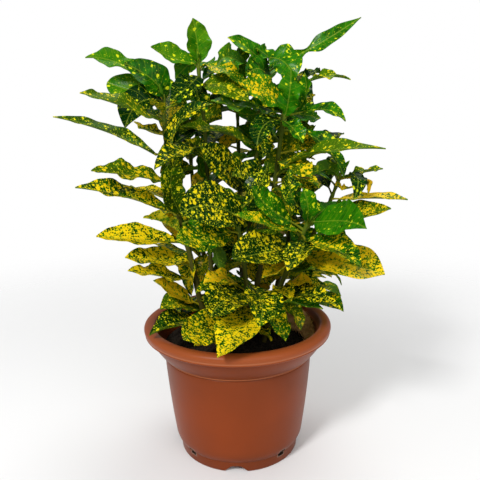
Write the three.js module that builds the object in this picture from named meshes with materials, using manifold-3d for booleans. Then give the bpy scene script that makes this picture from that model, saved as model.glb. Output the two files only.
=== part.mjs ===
// A potted gold-dust croton: a moulded pot with a rolled rim, its soil with a bank of
// coir fibre, and leafy stems that stand in plain holes in the soil.
// Millimetres, +Z up. The origin is on the pot's axis, on the surface it stands on,
// and the front of the pot faces -Y.

import * as THREE from 'three';
import { mergeVertices } from 'three/addons/utils/BufferGeometryUtils.js';
import Module from 'manifold-3d';

const wasm = await Module();
wasm.setup();

const DEGREE = Math.PI / 180;

// Pot: outer radii and heights from the foot up
const FOOT_RADIUS = 82.4;
const FOOT_TOP_RADIUS = 83.4;
const FOOT_HEIGHT = 14;
const FOOT_WIDTH = 6;
const UNDERSIDE_HEIGHT = 6;
const FLOOR_HEIGHT = 10;
const BODY_BOTTOM_RADIUS = 89.4;
const BODY_BOTTOM_HEIGHT = 26;
const BODY_BULGE = 1.2;
const GROOVE_RADIUS = 101.1;
const GROOVE_HEIGHT = 138.6;
const GROOVE_DEPTH = 0.9;
const NECK = [[108, 146], [114, 154]];
const LIP_RADIUS = 126;
const LIP_HEIGHT = 171;
const RIM_RADIUS = 128;
const RIM_HEIGHT = 176.5;
const POT_HEIGHT = 183;
const MOUTH_RADIUS = 113.4;
const WALL = 2.8;
const POT_SIDES = 28;

// Foot arches and drain slots
const ARCH_COUNT = 4;
const ARCH_WIDTH = 31;
const ARCH_HEIGHT = 7.2;
const ARCH_TURN = -93;
const SLOT_COUNT = 4;
const SLOT_WIDTH = 9;
const SLOT_HEIGHT = 6;
const SLOT_TURN = -48;

// Soil and coir
const GAP = 0.3;
const SOIL_HEIGHT = 150;
const SOIL_CROWN = 4;
const SOIL_SIDES = 24;
const HOLE_BOTTOM = 96;
const STEM_FOOT = 97;
const COIR_START = -8;
const COIR_END = 118;
const COIR_WIDTH = 23;
const COIR_HEIGHT = 24;

// Leaves
const BLADE_THICKNESS = 1.1;
const EDGE_THICKNESS = 0.8;
const PETIOLE_WIDTH = 3.2;
const PETIOLE_THICKNESS = 2.6;
const TIP_WIDTH = 1.6;
const CLEARANCE = 2.4;
const STEM_SIDES = 5;
const HOLE_SIDES = 8;
const LONG_BLADE = 88;
const LONG_STATIONS = [0, 0.2, 0.48, 0.78, 1];
const SHORT_STATIONS = [0, 0.3, 0.68, 1];
const WAISTED_STATIONS = [0, 0.18, 0.38, 0.62, 0.84, 1];

// The plant is laid out as it is seen by someone who stands in front of the pot and looks
// down at it. A place on the plant is given as a point of that view, in the view's own
// pixels, and the depth behind the pot's axis in millimetres.
const EYE = new THREE.Vector3(5.2, -733, 460);
const LOOK_DOWN = 12.77 * DEGREE;
const VIEW_ROLL = -0.88 * DEGREE;
const FOCAL_PIXELS = 560;
const VIEW_CENTRE = 240;

function viewOf(place) {
  const away = place.clone().sub(EYE);
  const forward = away.y * Math.cos(LOOK_DOWN) - away.z * Math.sin(LOOK_DOWN);
  const upward = away.y * Math.sin(LOOK_DOWN) + away.z * Math.cos(LOOK_DOWN);
  const right = (FOCAL_PIXELS * away.x) / forward;
  const below = (-FOCAL_PIXELS * upward) / forward;
  return {
    across: VIEW_CENTRE + right * Math.cos(VIEW_ROLL) - below * Math.sin(VIEW_ROLL),
    down: VIEW_CENTRE + right * Math.sin(VIEW_ROLL) + below * Math.cos(VIEW_ROLL),
  };
}

function onView([across, down, depth]) {
  const right = across - VIEW_CENTRE;
  const below = down - VIEW_CENTRE;
  const sideways = (right * Math.cos(VIEW_ROLL) + below * Math.sin(VIEW_ROLL)) / FOCAL_PIXELS;
  const upward = (right * Math.sin(VIEW_ROLL) - below * Math.cos(VIEW_ROLL)) / FOCAL_PIXELS;
  const ray = new THREE.Vector3(
    sideways,
    Math.cos(LOOK_DOWN) + upward * Math.sin(LOOK_DOWN),
    -Math.sin(LOOK_DOWN) + upward * Math.cos(LOOK_DOWN),
  );
  return EYE.clone().addScaledVector(ray, (depth - EYE.y) / ray.y);
}

// Stems: where each leaves the soil and the places it passes through, with its radius at
// the soil and at its top
const STEMS = [
  {
    name: 'left',
    thick: 5.4,
    thin: 2.4,
    path: [[212, 342, 6], [200, 300, 0], [196, 280, -4], [190, 255, -8], [181, 225, -10],
      [172, 185, -8], [167, 150, -5], [164, 120, 0], [164, 97, 5]],
  },
  {
    name: 'top',
    thick: 5.0,
    thin: 2.4,
    path: [[222, 336, 25], [216, 300, 24], [211, 265, 22], [209, 220, 20], [207, 170, 18],
      [204, 120, 14], [200, 85, 10], [198, 62, 8]],
  },
  {
    name: 'crown',
    thick: 4.8,
    thin: 2.4,
    path: [[238, 332, 48], [243, 280, 46], [250, 220, 42], [256, 160, 34], [258, 110, 28],
      [258, 80, 24]],
  },
  {
    name: 'upper_right',
    thick: 5.2,
    thin: 2.4,
    path: [[250, 338, 14], [256, 290, 16], [266, 240, 18], [274, 190, 16], [279, 150, 10],
      [283, 122, 4], [284, 106, 2]],
  },
  {
    name: 'right_outer',
    thick: 4.6,
    thin: 2.2,
    path: [[270, 338, 32], [288, 290, 36], [308, 245, 36], [326, 210, 32], [337, 184, 26],
      [342, 170, 22]],
  },
  {
    name: 'right_front',
    thick: 4.8,
    thin: 2.4,
    path: [[264, 348, -14], [274, 305, -22], [288, 268, -32], [301, 238, -44], [308, 222, -50]],
  },
  {
    name: 'front',
    thick: 5.0,
    thin: 2.4,
    path: [[242, 350, -20], [247, 318, -26], [247, 292, -34], [244, 262, -44], [240, 236, -50],
      [236, 216, -54]],
  },
  {
    name: 'back_left',
    thick: 4.6,
    thin: 2.4,
    path: [[220, 329, 52], [207, 270, 62], [196, 210, 70], [190, 150, 74], [188, 112, 76]],
  },
  {
    name: 'back',
    thick: 4.8,
    thin: 2.4,
    path: [[244, 324, 70], [242, 270, 82], [240, 200, 90], [238, 130, 94], [237, 92, 94]],
  },
  {
    name: 'back_right',
    thick: 4.6,
    thin: 2.4,
    path: [[266, 327, 56], [281, 270, 68], [294, 210, 76], [302, 155, 80], [306, 122, 80]],
  },
];

// Leaves that the front view shows, stem by stem. Each row has the end of its leaf stalk, the
// middle of its midrib and its tip, its true width in millimetres, and the share of that
// width that the view sees: 1 faces it, 0 is edge on, and below 0 shows the underside.
const PLAIN = 'plain';
const WAISTED = 'waisted';
const ROUND = 'round';
const VIEW_LEAVES = [
  {
    stem: 'left',
    leaves: [
      [[161, 92, 2], [123, 63, -4], [85, 57, -8], 36, 0.6],
      [[165, 97, 4], [153, 78, -8], [124, 63, -16], 44, 0.85],
      [[158, 99, 0], [132, 90, -26], [107, 82, -42], 46, 0.9, ROUND],
      [[162, 101, -2], [138, 101, -12], [125, 128, -16], 44, 0.85],
      [[163, 121, -6], [123, 103, -50], [80, 92, -66], 34, 0.34],
      [[163, 112, -4], [156, 103, -16], [149, 98, -22], 18, -0.6],
      [[163, 134, 6], [148, 128, 26], [134, 121, 50], 30, 0.3],
      [[157, 155, -8], [110, 130, -14], [53, 116, -12], 34, 0.36],
      [[170, 160, -12], [176, 123, -32], [213, 103, -44], 32, 0.5],
      [[165, 181, -10], [130, 172, -32], [91, 170, -48], 44, 0.45],
      [[181, 214, -16], [172, 186, -32], [178, 156, -32], 40, 0.75],
      [[171, 211, -12], [121, 192, -30], [75, 187, -42], 44, 0.45],
      [[176, 203, 0], [150, 190, 30], [127, 188, 58], 36, 0.25],
      [[181, 232, -12], [163, 219, -20], [143, 217, -28], 30, -0.4],
      [[178, 241, -12], [136, 236, -34], [96, 236, -48], 46, 0.6],
      [[188, 260, -8], [155, 257, -28], [125, 257, -42], 42, 0.58],
      [[187, 279, -6], [158, 273, -34], [128, 270, -56], 36, 0.45],
      [[194, 302, -4], [173, 290, -36], [154, 280, -60], 34, 0.6],
      [[200, 311, -2], [181, 301, -44], [160, 309, -76], 44, 0.6],
      [[203, 322, 0], [180, 319, -44], [149, 335, -74], 44, 0.55],
      [[190, 250, -2], [188, 270, -18], [191, 296, -26], 30, 0.75],
    ],
  },
  {
    stem: 'top',
    leaves: [
      [[200, 62, 6], [198, 42, 0], [193, 18, -6], 35, 0.95],
      [[195, 63, 4], [173, 55, -6], [151, 46, -16], 36, 0.62],
      [[197, 60, 4], [187, 65, -10], [175, 79, -20], 28, 0.9],
      [[198, 76, 6], [188, 85, -18], [170, 101, -32], 36, 0.85],
      [[200, 82, 6], [198, 94, -20], [207, 112, -36], 32, 0.85],
      [[201, 66, 8], [222, 67, -8], [246, 88, -22], 34, 0.5],
      [[203, 84, 8], [225, 84, -18], [249, 101, -30], 44, 0.75],
      [[200, 146, 4], [177, 151, -46], [154, 169, -68], 36, 0.6],
      [[208, 160, 14], [200, 150, 2], [186, 140, -6], 34, 0.6],
      [[208, 178, 16], [202, 168, 4], [200, 152, -4], 22, 0.7],
      [[211, 240, 20], [218, 254, 6], [222, 276, -2], 28, -0.65],
    ],
  },
  {
    stem: 'crown',
    leaves: [
      [[244, 82, 22], [242, 60, 16], [243, 37, 10], 28, 0.6],
      [[266, 68, 20], [252, 50, 6], [228, 37, -6], 30, 0.6],
      [[246, 66, 18], [230, 55, -8], [217, 66, -28], 30, 0.8],
      [[274, 66, 22], [268, 55, 16], [256, 48, 8], 24, 0.6],
      [[276, 66, 22], [316, 45, 6], [361, 17, -10], 26, 0.9, WAISTED],
      [[268, 58, 20], [284, 60, 6], [294, 80, -4], 44, 0.85],
      [[272, 82, 20], [261, 68, 4], [246, 76, -6], 38, 0.75],
      [[262, 107, 22], [236, 104, -2], [211, 100, -18], 34, 0.4],
      [[256, 146, 30], [222, 130, -4], [180, 126, -26], 30, 0.35],
      [[250, 190, 34], [226, 166, 4], [199, 144, -14], 46, 0.85],
      [[247, 232, 38], [262, 226, 20], [280, 228, 10], 38, 0.75],
      [[246, 250, 38], [232, 238, 16], [214, 236, 4], 36, 0.7],
    ],
  },
  {
    stem: 'upper_right',
    leaves: [
      [[284, 104, 4], [264, 90, -14], [243, 82, -26], 40, 0.8],
      [[285, 116, 0], [289, 94, -10], [291, 68, -14], 30, 0.95],
      [[297, 110, 2], [304, 93, 0], [304, 73, 2], 28, 0.65],
      [[298, 86, 12], [325, 75, 8], [351, 79, 2], 20, 0.25],
      [[300, 84, 18], [312, 72, 22], [323, 73, 28], 20, 0.35],
      [[300, 104, 12], [307, 99, 12], [315, 94, 12], 14, 0.35],
      [[300, 113, -2], [326, 108, -10], [346, 121, -16], 26, 0.5],
      [[287, 115, -2], [303, 113, -20], [321, 118, -34], 34, 0.75],
      [[284, 121, 0], [294, 127, -24], [303, 143, -34], 28, 0.75],
      [[281, 119, 2], [264, 124, -26], [257, 146, -40], 34, 0.8],
      [[301, 130, 6], [330, 148, 2], [344, 177, -4], 32, 0.6],
      [[279, 172, 8], [318, 150, -14], [386, 148, -24], 38, 0.32],
      [[292, 152, 12], [308, 141, 10], [326, 138, 6], 32, 0.6],
      [[280, 160, 6], [296, 164, -24], [312, 178, -40], 38, 0.7],
      [[272, 182, 12], [252, 172, -18], [232, 176, -36], 40, 0.75],
      [[283, 112, 6], [268, 106, -2], [250, 101, -10], 34, 0.6],
      [[277, 187, 8], [284, 198, -24], [292, 216, -40], 40, 0.8],
      [[273, 197, 12], [262, 204, -20], [250, 220, -38], 42, 0.8],
      [[264, 252, 14], [276, 262, -8], [288, 278, -20], 36, -0.6],
    ],
  },
  {
    stem: 'right_outer',
    leaves: [
      [[338, 176, 20], [325, 167, 10], [309, 178, 4], 26, -0.6],
      [[344, 176, 20], [362, 171, 14], [383, 168, 8], 22, 0.3],
      [[345, 177, 18], [358, 177, 4], [354, 200, -6], 24, 0.75],
      [[347, 178, 26], [366, 180, 32], [368, 197, 38], 14, 0.45],
      [[337, 180, 22], [341, 187, 12], [354, 186, 6], 10, 0.6],
      [[338, 199, 22], [372, 196, 6], [408, 199, -10], 34, 0.28],
      [[331, 208, 22], [360, 211, -10], [391, 208, -30], 44, 0.55],
      [[318, 226, 32], [338, 222, 50], [366, 226, 66], 40, 0.4],
    ],
  },
  {
    stem: 'right_front',
    leaves: [
      [[314, 222, -54], [341, 219, -104], [366, 228, -150], 52, 0.85],
      [[306, 212, -52], [293, 195, -66], [290, 168, -60], 34, 0.75],
      [[307, 221, -56], [309, 206, -66], [303, 188, -68], 28, 0.8],
      [[292, 222, -50], [270, 206, -70], [252, 186, -80], 38, 0.75],
      [[298, 230, -52], [268, 222, -80], [235, 214, -98], 34, 0.5],
      [[303, 254, -44], [346, 261, -84], [385, 274, -108], 62, 0.7],
      [[303, 240, -50], [334, 245, -104], [361, 266, -136], 44, 0.62],
      [[296, 257, -34], [313, 258, -36], [333, 271, -38], 40, -0.5],
      [[290, 272, -30], [324, 267, -42], [342, 285, -50], 34, 0.4],
      [[277, 293, -28], [313, 294, -84], [342, 310, -118], 54, 0.75],
      [[292, 246, -46], [263, 250, -96], [233, 258, -132], 54, 0.82, ROUND],
    ],
  },
  {
    stem: 'front',
    leaves: [
      [[246, 222, -58], [215, 205, -96], [181, 213, -124], 58, 0.9, ROUND],
      [[230, 231, -58], [203, 237, -104], [178, 241, -138], 44, 0.8, ROUND],
      [[244, 206, -56], [257, 186, -74], [268, 162, -84], 36, 0.6],
      [[240, 288, -38], [222, 276, -62], [203, 283, -74], 26, 0.55],
      [[246, 292, -40], [227, 297, -92], [211, 316, -130], 52, 0.85, ROUND],
      [[252, 286, -40], [263, 299, -96], [259, 327, -134], 52, 0.9],
      [[243, 306, -42], [239, 326, -104], [217, 357, -144], 58, 0.9],
      [[238, 320, -32], [208, 328, -86], [184, 339, -120], 52, 0.85, ROUND],
      [[256, 304, -34], [274, 315, -66], [286, 341, -92], 36, 0.7],
      [[254, 326, -32], [264, 331, -52], [272, 341, -64], 18, 0.45],
    ],
  },
  {
    stem: 'right_front',
    leaves: [
      [[280, 302, -22], [293, 308, -36], [301, 330, -44], 34, 0.65],
      [[276, 286, -34], [283, 290, -52], [292, 300, -62], 30, 0.6],
    ],
  },
  {
    stem: 'front',
    leaves: [
      [[246, 254, -48], [262, 240, -66], [284, 236, -78], 38, 0.7],
    ],
  },
  {
    stem: 'back',
    leaves: [
      [[238, 126, 88], [253, 137, 66], [271, 152, 48], 46, 0.8],
      [[238, 133, 90], [230, 139, 80], [218, 153, 74], 30, 0.8],
    ],
  },
  {
    stem: 'back_right',
    leaves: [
      [[301, 164, 76], [284, 160, 58], [264, 173, 42], 46, 0.85],
      [[305, 128, 78], [294, 137, 66], [283, 152, 56], 40, 0.8],
      [[304, 140, 78], [314, 144, 70], [326, 153, 64], 34, 0.8],
      [[300, 178, 76], [306, 185, 70], [314, 194, 66], 28, 0.8],
      [[294, 224, 72], [302, 236, 58], [311, 252, 48], 46, 0.8],
    ],
  },
  {
    stem: 'back_left',
    leaves: [
      [[206, 254, 62], [200, 268, 50], [197, 288, 44], 34, 0.8],
    ],
  },
  {
    stem: 'back',
    leaves: [
      [[241, 240, 84], [232, 249, 72], [224, 263, 64], 34, 0.8],
      [[242, 258, 82], [256, 269, 64], [271, 285, 50], 46, 0.8],
    ],
  },
  {
    stem: 'back_right',
    leaves: [
      [[284, 258, 70], [268, 276, 56], [255, 293, 46], 38, 0.8],
    ],
  },
  {
    stem: 'back_left',
    leaves: [
      [[192, 172, 72], [177, 167, 58], [160, 173, 50], 40, 0.8],
      [[190, 122, 74], [205, 113, 60], [222, 119, 50], 44, 0.8],
      [[193, 200, 70], [197, 184, 62], [201, 170, 58], 22, 0.8],
      [[203, 247, 64], [188, 241, 48], [170, 236, 40], 36, 0.75],
    ],
  },
  {
    stem: 'back',
    leaves: [
      [[237, 95, 92], [250, 88, 80], [264, 93, 70], 34, 0.7],
    ],
  },
];

// A few more leaves of the view, set last in room that the others leave
const LATE_LEAVES = [
  {
    stem: 'right_front',
    leaves: [
      [[302, 248, -52], [285, 262, -86], [262, 277, -108], 38, 0.6],
      [[305, 238, -58], [300, 250, -92], [287, 270, -118], 42, 0.8],
      [[284, 286, -28], [297, 280, -40], [313, 283, -50], 24, 0.5],
    ],
  },
  {
    stem: 'front',
    leaves: [
      [[240, 330, -30], [214, 338, -66], [194, 345, -84], 34, 0.5],
    ],
  },
  {
    stem: 'crown',
    leaves: [
      [[256, 128, 26], [262, 140, 14], [263, 158, 8], 36, 0.8],
      [[258, 113, 26], [248, 114, 16], [237, 111, 10], 26, 0.8],
    ],
  },
];

// Sights through the plant and past its outline that its hidden leaves leave open, as
// points of the view
const OPEN_SIGHTS = [
  [222, 121], [229, 124], [225, 138], [240, 162], [240, 170], [188, 195], [219, 182], [203, 270],
  [220, 264], [321, 192], [313, 166], [345, 95], [335, 160], [120, 150], [140, 158], [110, 205],
  [140, 205], [115, 75], [145, 110], [170, 70], [215, 40], [332, 40], [275, 40], [300, 40],
  [360, 110], [375, 185], [375, 240], [360, 300], [345, 300], [130, 247], [110, 215], [140, 290],
  [140, 310], [160, 200], [230, 45], [330, 90], [365, 130], [150, 135], [345, 275], [162, 66],
  [345, 103], [335, 97], [350, 112], [346, 150], [349, 240], [155, 195], [152, 162], [157, 143],
  [345, 240], [348, 290], [343, 322], [312, 62], [322, 68], [329, 85], [321, 90], [326, 98],
  [340, 92], [328, 124], [316, 128], [345, 312], [344, 318], [308, 166], [303, 66],
  [315, 96], [340, 128], [335, 120], [345, 135], [346, 142], [206, 160], [189, 198],
];

// Hidden leaves, placed by a rule round the stems that stand behind: how many, the stretch of
// the stem that they cover, the way they face from above and how far round they spread
const BACK_LEAVES = [
  { stem: 'back_left', count: 11, low: 0.2, high: 0.99, facing: 115, spread: 170, long: 118 },
  { stem: 'back', count: 11, low: 0.2, high: 0.99, facing: 90, spread: 200, long: 118 },
  { stem: 'back_right', count: 12, low: 0.2, high: 0.99, facing: 62, spread: 170, long: 118 },
  { stem: 'top', count: 4, low: 0.25, high: 0.8, facing: 150, spread: 200, long: 112 },
  { stem: 'crown', count: 7, low: 0.2, high: 0.85, facing: 80, spread: 320, long: 112 },
  { stem: 'right_outer', count: 5, low: 0.2, high: 0.9, facing: 40, spread: 170, long: 118 },
  { stem: 'upper_right', count: 4, low: 0.2, high: 0.7, facing: 20, spread: 300, long: 104 },
  { stem: 'left', count: 5, low: 0.25, high: 0.95, facing: 120, spread: 110, long: 118 },
];
// The part of the view that the hidden leaves keep to, and how far they reach behind
const HIDDEN_VIEW = { left: 152, right: 350, top: 52, bottom: 336 };
const REACH_BEHIND = 155;
const LEAF_SLENDERNESS = 0.34;
const GOLDEN_SHARE = 0.61803;

// Steps by which a leaf is bent until it is clear of the rest: the leaves of the view move
// their tips along the sight, in millimetres, and the others turn and rise, in degrees
const SIGHT_STEPS = [0, -9, 9, -18, 18, -27, 27, -38, 38, -50, 50, -64, 64];
const TURN_STEPS = [[0, 0], [11, 0], [-11, 0], [0, 11], [0, -11], [22, 0], [-22, 0], [16, 14],
  [-16, 14], [16, -14], [-16, -14], [34, 0], [-34, 0], [30, 20], [-30, 20], [46, 6], [-46, 6],
  [0, 26], [20, 30], [-20, 30], [60, 10], [-60, 10], [75, 20], [-75, 20], [0, 38]];

// Seeded draws between 0 and 1
function makeDraw(seed) {
  let state = seed;
  return () => {
    state = (state * 1664525 + 1013904223) % 4294967296;
    return state / 4294967296;
  };
}

// Closed bodies as manifold solids, and back to geometry
function toSolid(geometry) {
  const bare = geometry.clone();
  bare.deleteAttribute('normal');
  bare.deleteAttribute('uv');
  const merged = mergeVertices(bare, 1e-4);
  const vertProperties = new Float32Array(merged.attributes.position.array);
  const triVerts = new Uint32Array(merged.index.array);
  return new wasm.Manifold(new wasm.Mesh({ numProp: 3, vertProperties, triVerts }));
}

function meshedSolid(points, triangles) {
  const vertProperties = new Float32Array(points.flatMap((p) => [p.x, p.y, p.z]));
  const solid = new wasm.Manifold(
    new wasm.Mesh({ numProp: 3, vertProperties, triVerts: new Uint32Array(triangles.flat()) }),
  );
  if (solid.volume() > 0) return solid;
  const turned = triangles.map(([a, b, c]) => [a, c, b]);
  return new wasm.Manifold(
    new wasm.Mesh({ numProp: 3, vertProperties, triVerts: new Uint32Array(turned.flat()) }),
  );
}

function toGeometry(solid) {
  const mesh = solid.getMesh();
  const geometry = new THREE.BufferGeometry();
  geometry.setAttribute('position', new THREE.BufferAttribute(mesh.vertProperties, 3));
  geometry.setIndex(new THREE.BufferAttribute(mesh.triVerts, 1));
  return geometry;
}

function lathe(profile, sides) {
  const points = profile.map(([radius, height]) => new THREE.Vector2(radius, height));
  return new THREE.LatheGeometry(points, sides).rotateX(90 * DEGREE);
}

// Points along a quadratic arc through its middle, ends left out
function arcBetween([r0, z0], [rm, zm], [r1, z1], steps) {
  const control = [2 * rm - (r0 + r1) / 2, 2 * zm - (z0 + z1) / 2];
  return Array.from({ length: steps - 1 }, (_, i) => {
    const t = (i + 1) / steps;
    const a = (1 - t) ** 2;
    const b = 2 * t * (1 - t);
    return [a * r0 + b * control[0] + t * t * r1, a * z0 + b * control[1] + t * t * z1];
  });
}

// Pot
const bodyBottom = [BODY_BOTTOM_RADIUS, BODY_BOTTOM_HEIGHT];
const bodyMiddle = [
  (BODY_BOTTOM_RADIUS + GROOVE_RADIUS) / 2 + BODY_BULGE,
  (BODY_BOTTOM_HEIGHT + GROOVE_HEIGHT) / 2,
];
const mouth = [MOUTH_RADIUS, POT_HEIGHT - 1.3];

function innerRadius(height) {
  const share = (height - BODY_BOTTOM_HEIGHT) / (GROOVE_HEIGHT - BODY_BOTTOM_HEIGHT);
  const straight = BODY_BOTTOM_RADIUS + share * (GROOVE_RADIUS - BODY_BOTTOM_RADIUS);
  const bulge = 4 * BODY_BULGE * Math.max(0, share * (1 - share));
  if (height <= GROOVE_HEIGHT - GROOVE_DEPTH) return straight + bulge - WALL;
  const flare = (height - GROOVE_HEIGHT) / (mouth[1] - GROOVE_HEIGHT);
  return GROOVE_RADIUS - WALL + flare * (MOUTH_RADIUS - GROOVE_RADIUS + WALL);
}

function potProfile() {
  const rimTop = [(RIM_RADIUS + MOUTH_RADIUS) / 2, POT_HEIGHT];
  const outside = [
    [0, UNDERSIDE_HEIGHT],
    [FOOT_RADIUS - FOOT_WIDTH - 2, UNDERSIDE_HEIGHT],
    [FOOT_RADIUS - FOOT_WIDTH, 0],
    [FOOT_RADIUS, 0],
    [FOOT_TOP_RADIUS, FOOT_HEIGHT],
    ...arcBetween([FOOT_TOP_RADIUS, FOOT_HEIGHT], [87.6, 18.4], bodyBottom, 3),
    bodyBottom,
    ...arcBetween(bodyBottom, bodyMiddle, [GROOVE_RADIUS, GROOVE_HEIGHT - 2], 4),
    [GROOVE_RADIUS, GROOVE_HEIGHT - 2],
    [GROOVE_RADIUS - GROOVE_DEPTH, GROOVE_HEIGHT],
    [GROOVE_RADIUS + GROOVE_DEPTH, GROOVE_HEIGHT + 1.6],
    ...NECK,
    [LIP_RADIUS - 2.6, LIP_HEIGHT - 2.2],
    [LIP_RADIUS, LIP_HEIGHT - 0.6],
    [RIM_RADIUS, RIM_HEIGHT],
    [RIM_RADIUS - 2.6, POT_HEIGHT - 1.6],
    rimTop,
    mouth,
  ];
  const inside = [
    [innerRadius(168), 168],
    [innerRadius(GROOVE_HEIGHT), GROOVE_HEIGHT],
    [innerRadius(82), 82],
    [innerRadius(BODY_BOTTOM_HEIGHT + 2), BODY_BOTTOM_HEIGHT + 2],
    [FOOT_TOP_RADIUS - WALL - 1, FLOOR_HEIGHT + 4],
    [FOOT_TOP_RADIUS - WALL - 6, FLOOR_HEIGHT],
    [0, FLOOR_HEIGHT],
  ];
  return [...outside, ...inside];
}

// A cutter across the foot: a round-topped bar that points along the radius
function archCutter(turn) {
  const outline = new THREE.Shape();
  outline.moveTo(-ARCH_WIDTH / 2, -4);
  outline.lineTo(ARCH_WIDTH / 2, -4);
  outline.lineTo(ARCH_WIDTH / 2, 0.4);
  outline.quadraticCurveTo(ARCH_WIDTH / 2 - 4, ARCH_HEIGHT, ARCH_WIDTH / 2 - 9, ARCH_HEIGHT);
  outline.lineTo(9 - ARCH_WIDTH / 2, ARCH_HEIGHT);
  outline.quadraticCurveTo(4 - ARCH_WIDTH / 2, ARCH_HEIGHT, -ARCH_WIDTH / 2, 0.4);
  outline.closePath();
  const bar = new THREE.ExtrudeGeometry(outline, { depth: 24, bevelEnabled: false, curveSegments: 2 });
  bar.rotateX(90 * DEGREE).rotateZ(90 * DEGREE);
  bar.translate(FOOT_RADIUS - 14, 0, 0).rotateZ(turn * DEGREE);
  return toSolid(bar);
}

function slotCutter(turn) {
  const block = new THREE.BoxGeometry(22, SLOT_WIDTH, SLOT_HEIGHT);
  block.translate(FOOT_TOP_RADIUS, 0, FOOT_HEIGHT + 1).rotateZ(turn * DEGREE);
  return toSolid(block);
}

function buildPot() {
  let pot = toSolid(lathe(potProfile(), POT_SIDES));
  for (let i = 0; i < ARCH_COUNT; i += 1) {
    pot = pot.subtract(archCutter(ARCH_TURN + (i * 360) / ARCH_COUNT));
  }
  for (let i = 0; i < SLOT_COUNT; i += 1) {
    pot = pot.subtract(slotCutter(SLOT_TURN + (i * 360) / SLOT_COUNT));
  }
  return pot;
}

// Stems as smooth tubes with a straight foot in the soil
function stemCurve(stem) {
  const places = stem.path.map(onView);
  places[0].z = SOIL_HEIGHT + SOIL_CROWN + 2;
  return new THREE.CatmullRomCurve3(places, false, 'catmullrom', 0.5);
}

function ringAt(centre, along, radius, sides) {
  const across = new THREE.Vector3(1, 0, 0);
  across.addScaledVector(along, -across.dot(along)).normalize();
  const behind = new THREE.Vector3().crossVectors(along, across);
  return Array.from({ length: sides }, (_, i) => {
    const turn = (i * 2 * Math.PI) / sides;
    return centre.clone()
      .addScaledVector(across, radius * Math.cos(turn))
      .addScaledVector(behind, radius * Math.sin(turn));
  });
}

// A closed skin over rings of as many points each. `flips` says, for each strip between two
// neighbouring points of a ring, which diagonal splits it.
function skinOver(rings, flips) {
  const sides = rings[0].length;
  const triangles = [];
  for (let i = 0; i < rings.length - 1; i += 1) {
    for (let j = 0; j < sides; j += 1) {
      const a = i * sides + j;
      const b = i * sides + ((j + 1) % sides);
      const c = a + sides;
      const d = b + sides;
      if (flips[j]) triangles.push([a, b, c], [b, d, c]);
      else triangles.push([a, b, d], [a, d, c]);
    }
  }
  const last = (rings.length - 1) * sides;
  for (let j = 1; j < sides - 1; j += 1) {
    triangles.push([0, j + 1, j], [last, last + j, last + j + 1]);
  }
  return meshedSolid(rings.flat(), triangles);
}

const UP = new THREE.Vector3(0, 0, 1);
const STEM_STEPS = 6;

function stemRadius(stem, share) {
  return stem.thick + (stem.thin - stem.thick) * share;
}

function buildStem(stem) {
  const curve = stemCurve(stem);
  const soilPoint = curve.getPoint(0);
  const foot = new THREE.Vector3(soilPoint.x, soilPoint.y, STEM_FOOT + GAP);
  const collar = soilPoint.clone();
  const rings = [
    ringAt(foot, UP, stem.thick, STEM_SIDES),
    ringAt(collar, UP, stem.thick, STEM_SIDES),
  ];
  for (let i = 1; i <= STEM_STEPS; i += 1) {
    const share = i / STEM_STEPS;
    rings.push(ringAt(curve.getPoint(share), curve.getTangent(share), stemRadius(stem, share),
      STEM_SIDES));
  }
  return skinOver(rings, Array(STEM_SIDES).fill(false));
}

function holeCutter(stem) {
  const place = stemCurve(stem).getPoint(0);
  const radius = (stem.thick + GAP) / Math.cos(Math.PI / HOLE_SIDES);
  const cutter = new THREE.CylinderGeometry(radius, radius, 80, HOLE_SIDES);
  cutter.rotateX(90 * DEGREE).translate(place.x, place.y, HOLE_BOTTOM + 40);
  return toSolid(cutter);
}

// Soil: fills the pot to below the rim, a little higher in the middle
function buildSoil() {
  const wallRadius = (height) => innerRadius(height) - GAP - 0.4;
  const profile = [
    [0, FLOOR_HEIGHT + GAP],
    [FOOT_TOP_RADIUS - WALL - 6.5, FLOOR_HEIGHT + GAP],
    [FOOT_TOP_RADIUS - WALL - 2, FLOOR_HEIGHT + 4],
    [wallRadius(BODY_BOTTOM_HEIGHT + 2) - 0.3, BODY_BOTTOM_HEIGHT + 2],
    [wallRadius(82), 82],
    [wallRadius(GROOVE_HEIGHT), GROOVE_HEIGHT],
    [wallRadius(SOIL_HEIGHT), SOIL_HEIGHT],
    [70, SOIL_HEIGHT + SOIL_CROWN * 0.6],
    [0, SOIL_HEIGHT + SOIL_CROWN],
  ];
  return STEMS.reduce((soil, stem) => soil.subtract(holeCutter(stem)), toSolid(lathe(profile, SOIL_SIDES)));
}

// Coir: a bank of fibre against the wall at the back right
function buildCoir() {
  const steps = 12;
  const foot = SOIL_HEIGHT + SOIL_CROWN + GAP;
  const rings = [];
  for (let i = 0; i <= steps; i += 1) {
    const share = i / steps;
    const turn = (COIR_START + share * (COIR_END - COIR_START)) * DEGREE;
    const swell = 0.25 + 0.75 * Math.sin(Math.PI * share);
    const wide = COIR_WIDTH * swell;
    const top = foot + COIR_HEIGHT * swell;
    const outline = [
      [innerRadius(foot) - GAP - 0.5, foot],
      [innerRadius(top) - GAP - 0.6, top],
      [innerRadius(foot) - wide * 0.45, foot + (top - foot) * 0.72],
      [innerRadius(foot) - wide, foot],
    ];
    rings.push(outline.map(([radius, height]) => new THREE.Vector3(
      radius * Math.cos(turn), radius * Math.sin(turn), height)));
  }
  return skinOver(rings, [false, false, false, false]);
}

// Leaves. A blade is worked out from where it starts, the middle of its midrib, its tip and
// the way its upper face looks.
function bladeWidthShare(share, shape) {
  if (shape === ROUND) return Math.max(Math.sin(Math.PI * share ** 1.04), 0) ** 0.62;
  const oval = Math.sin(Math.PI * share ** 0.92) ** 0.8;
  if (shape !== WAISTED) return oval;
  const waist = Math.exp(-(((share - 0.38) / 0.1) ** 2));
  return oval * (1 - 0.82 * waist);
}

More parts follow.
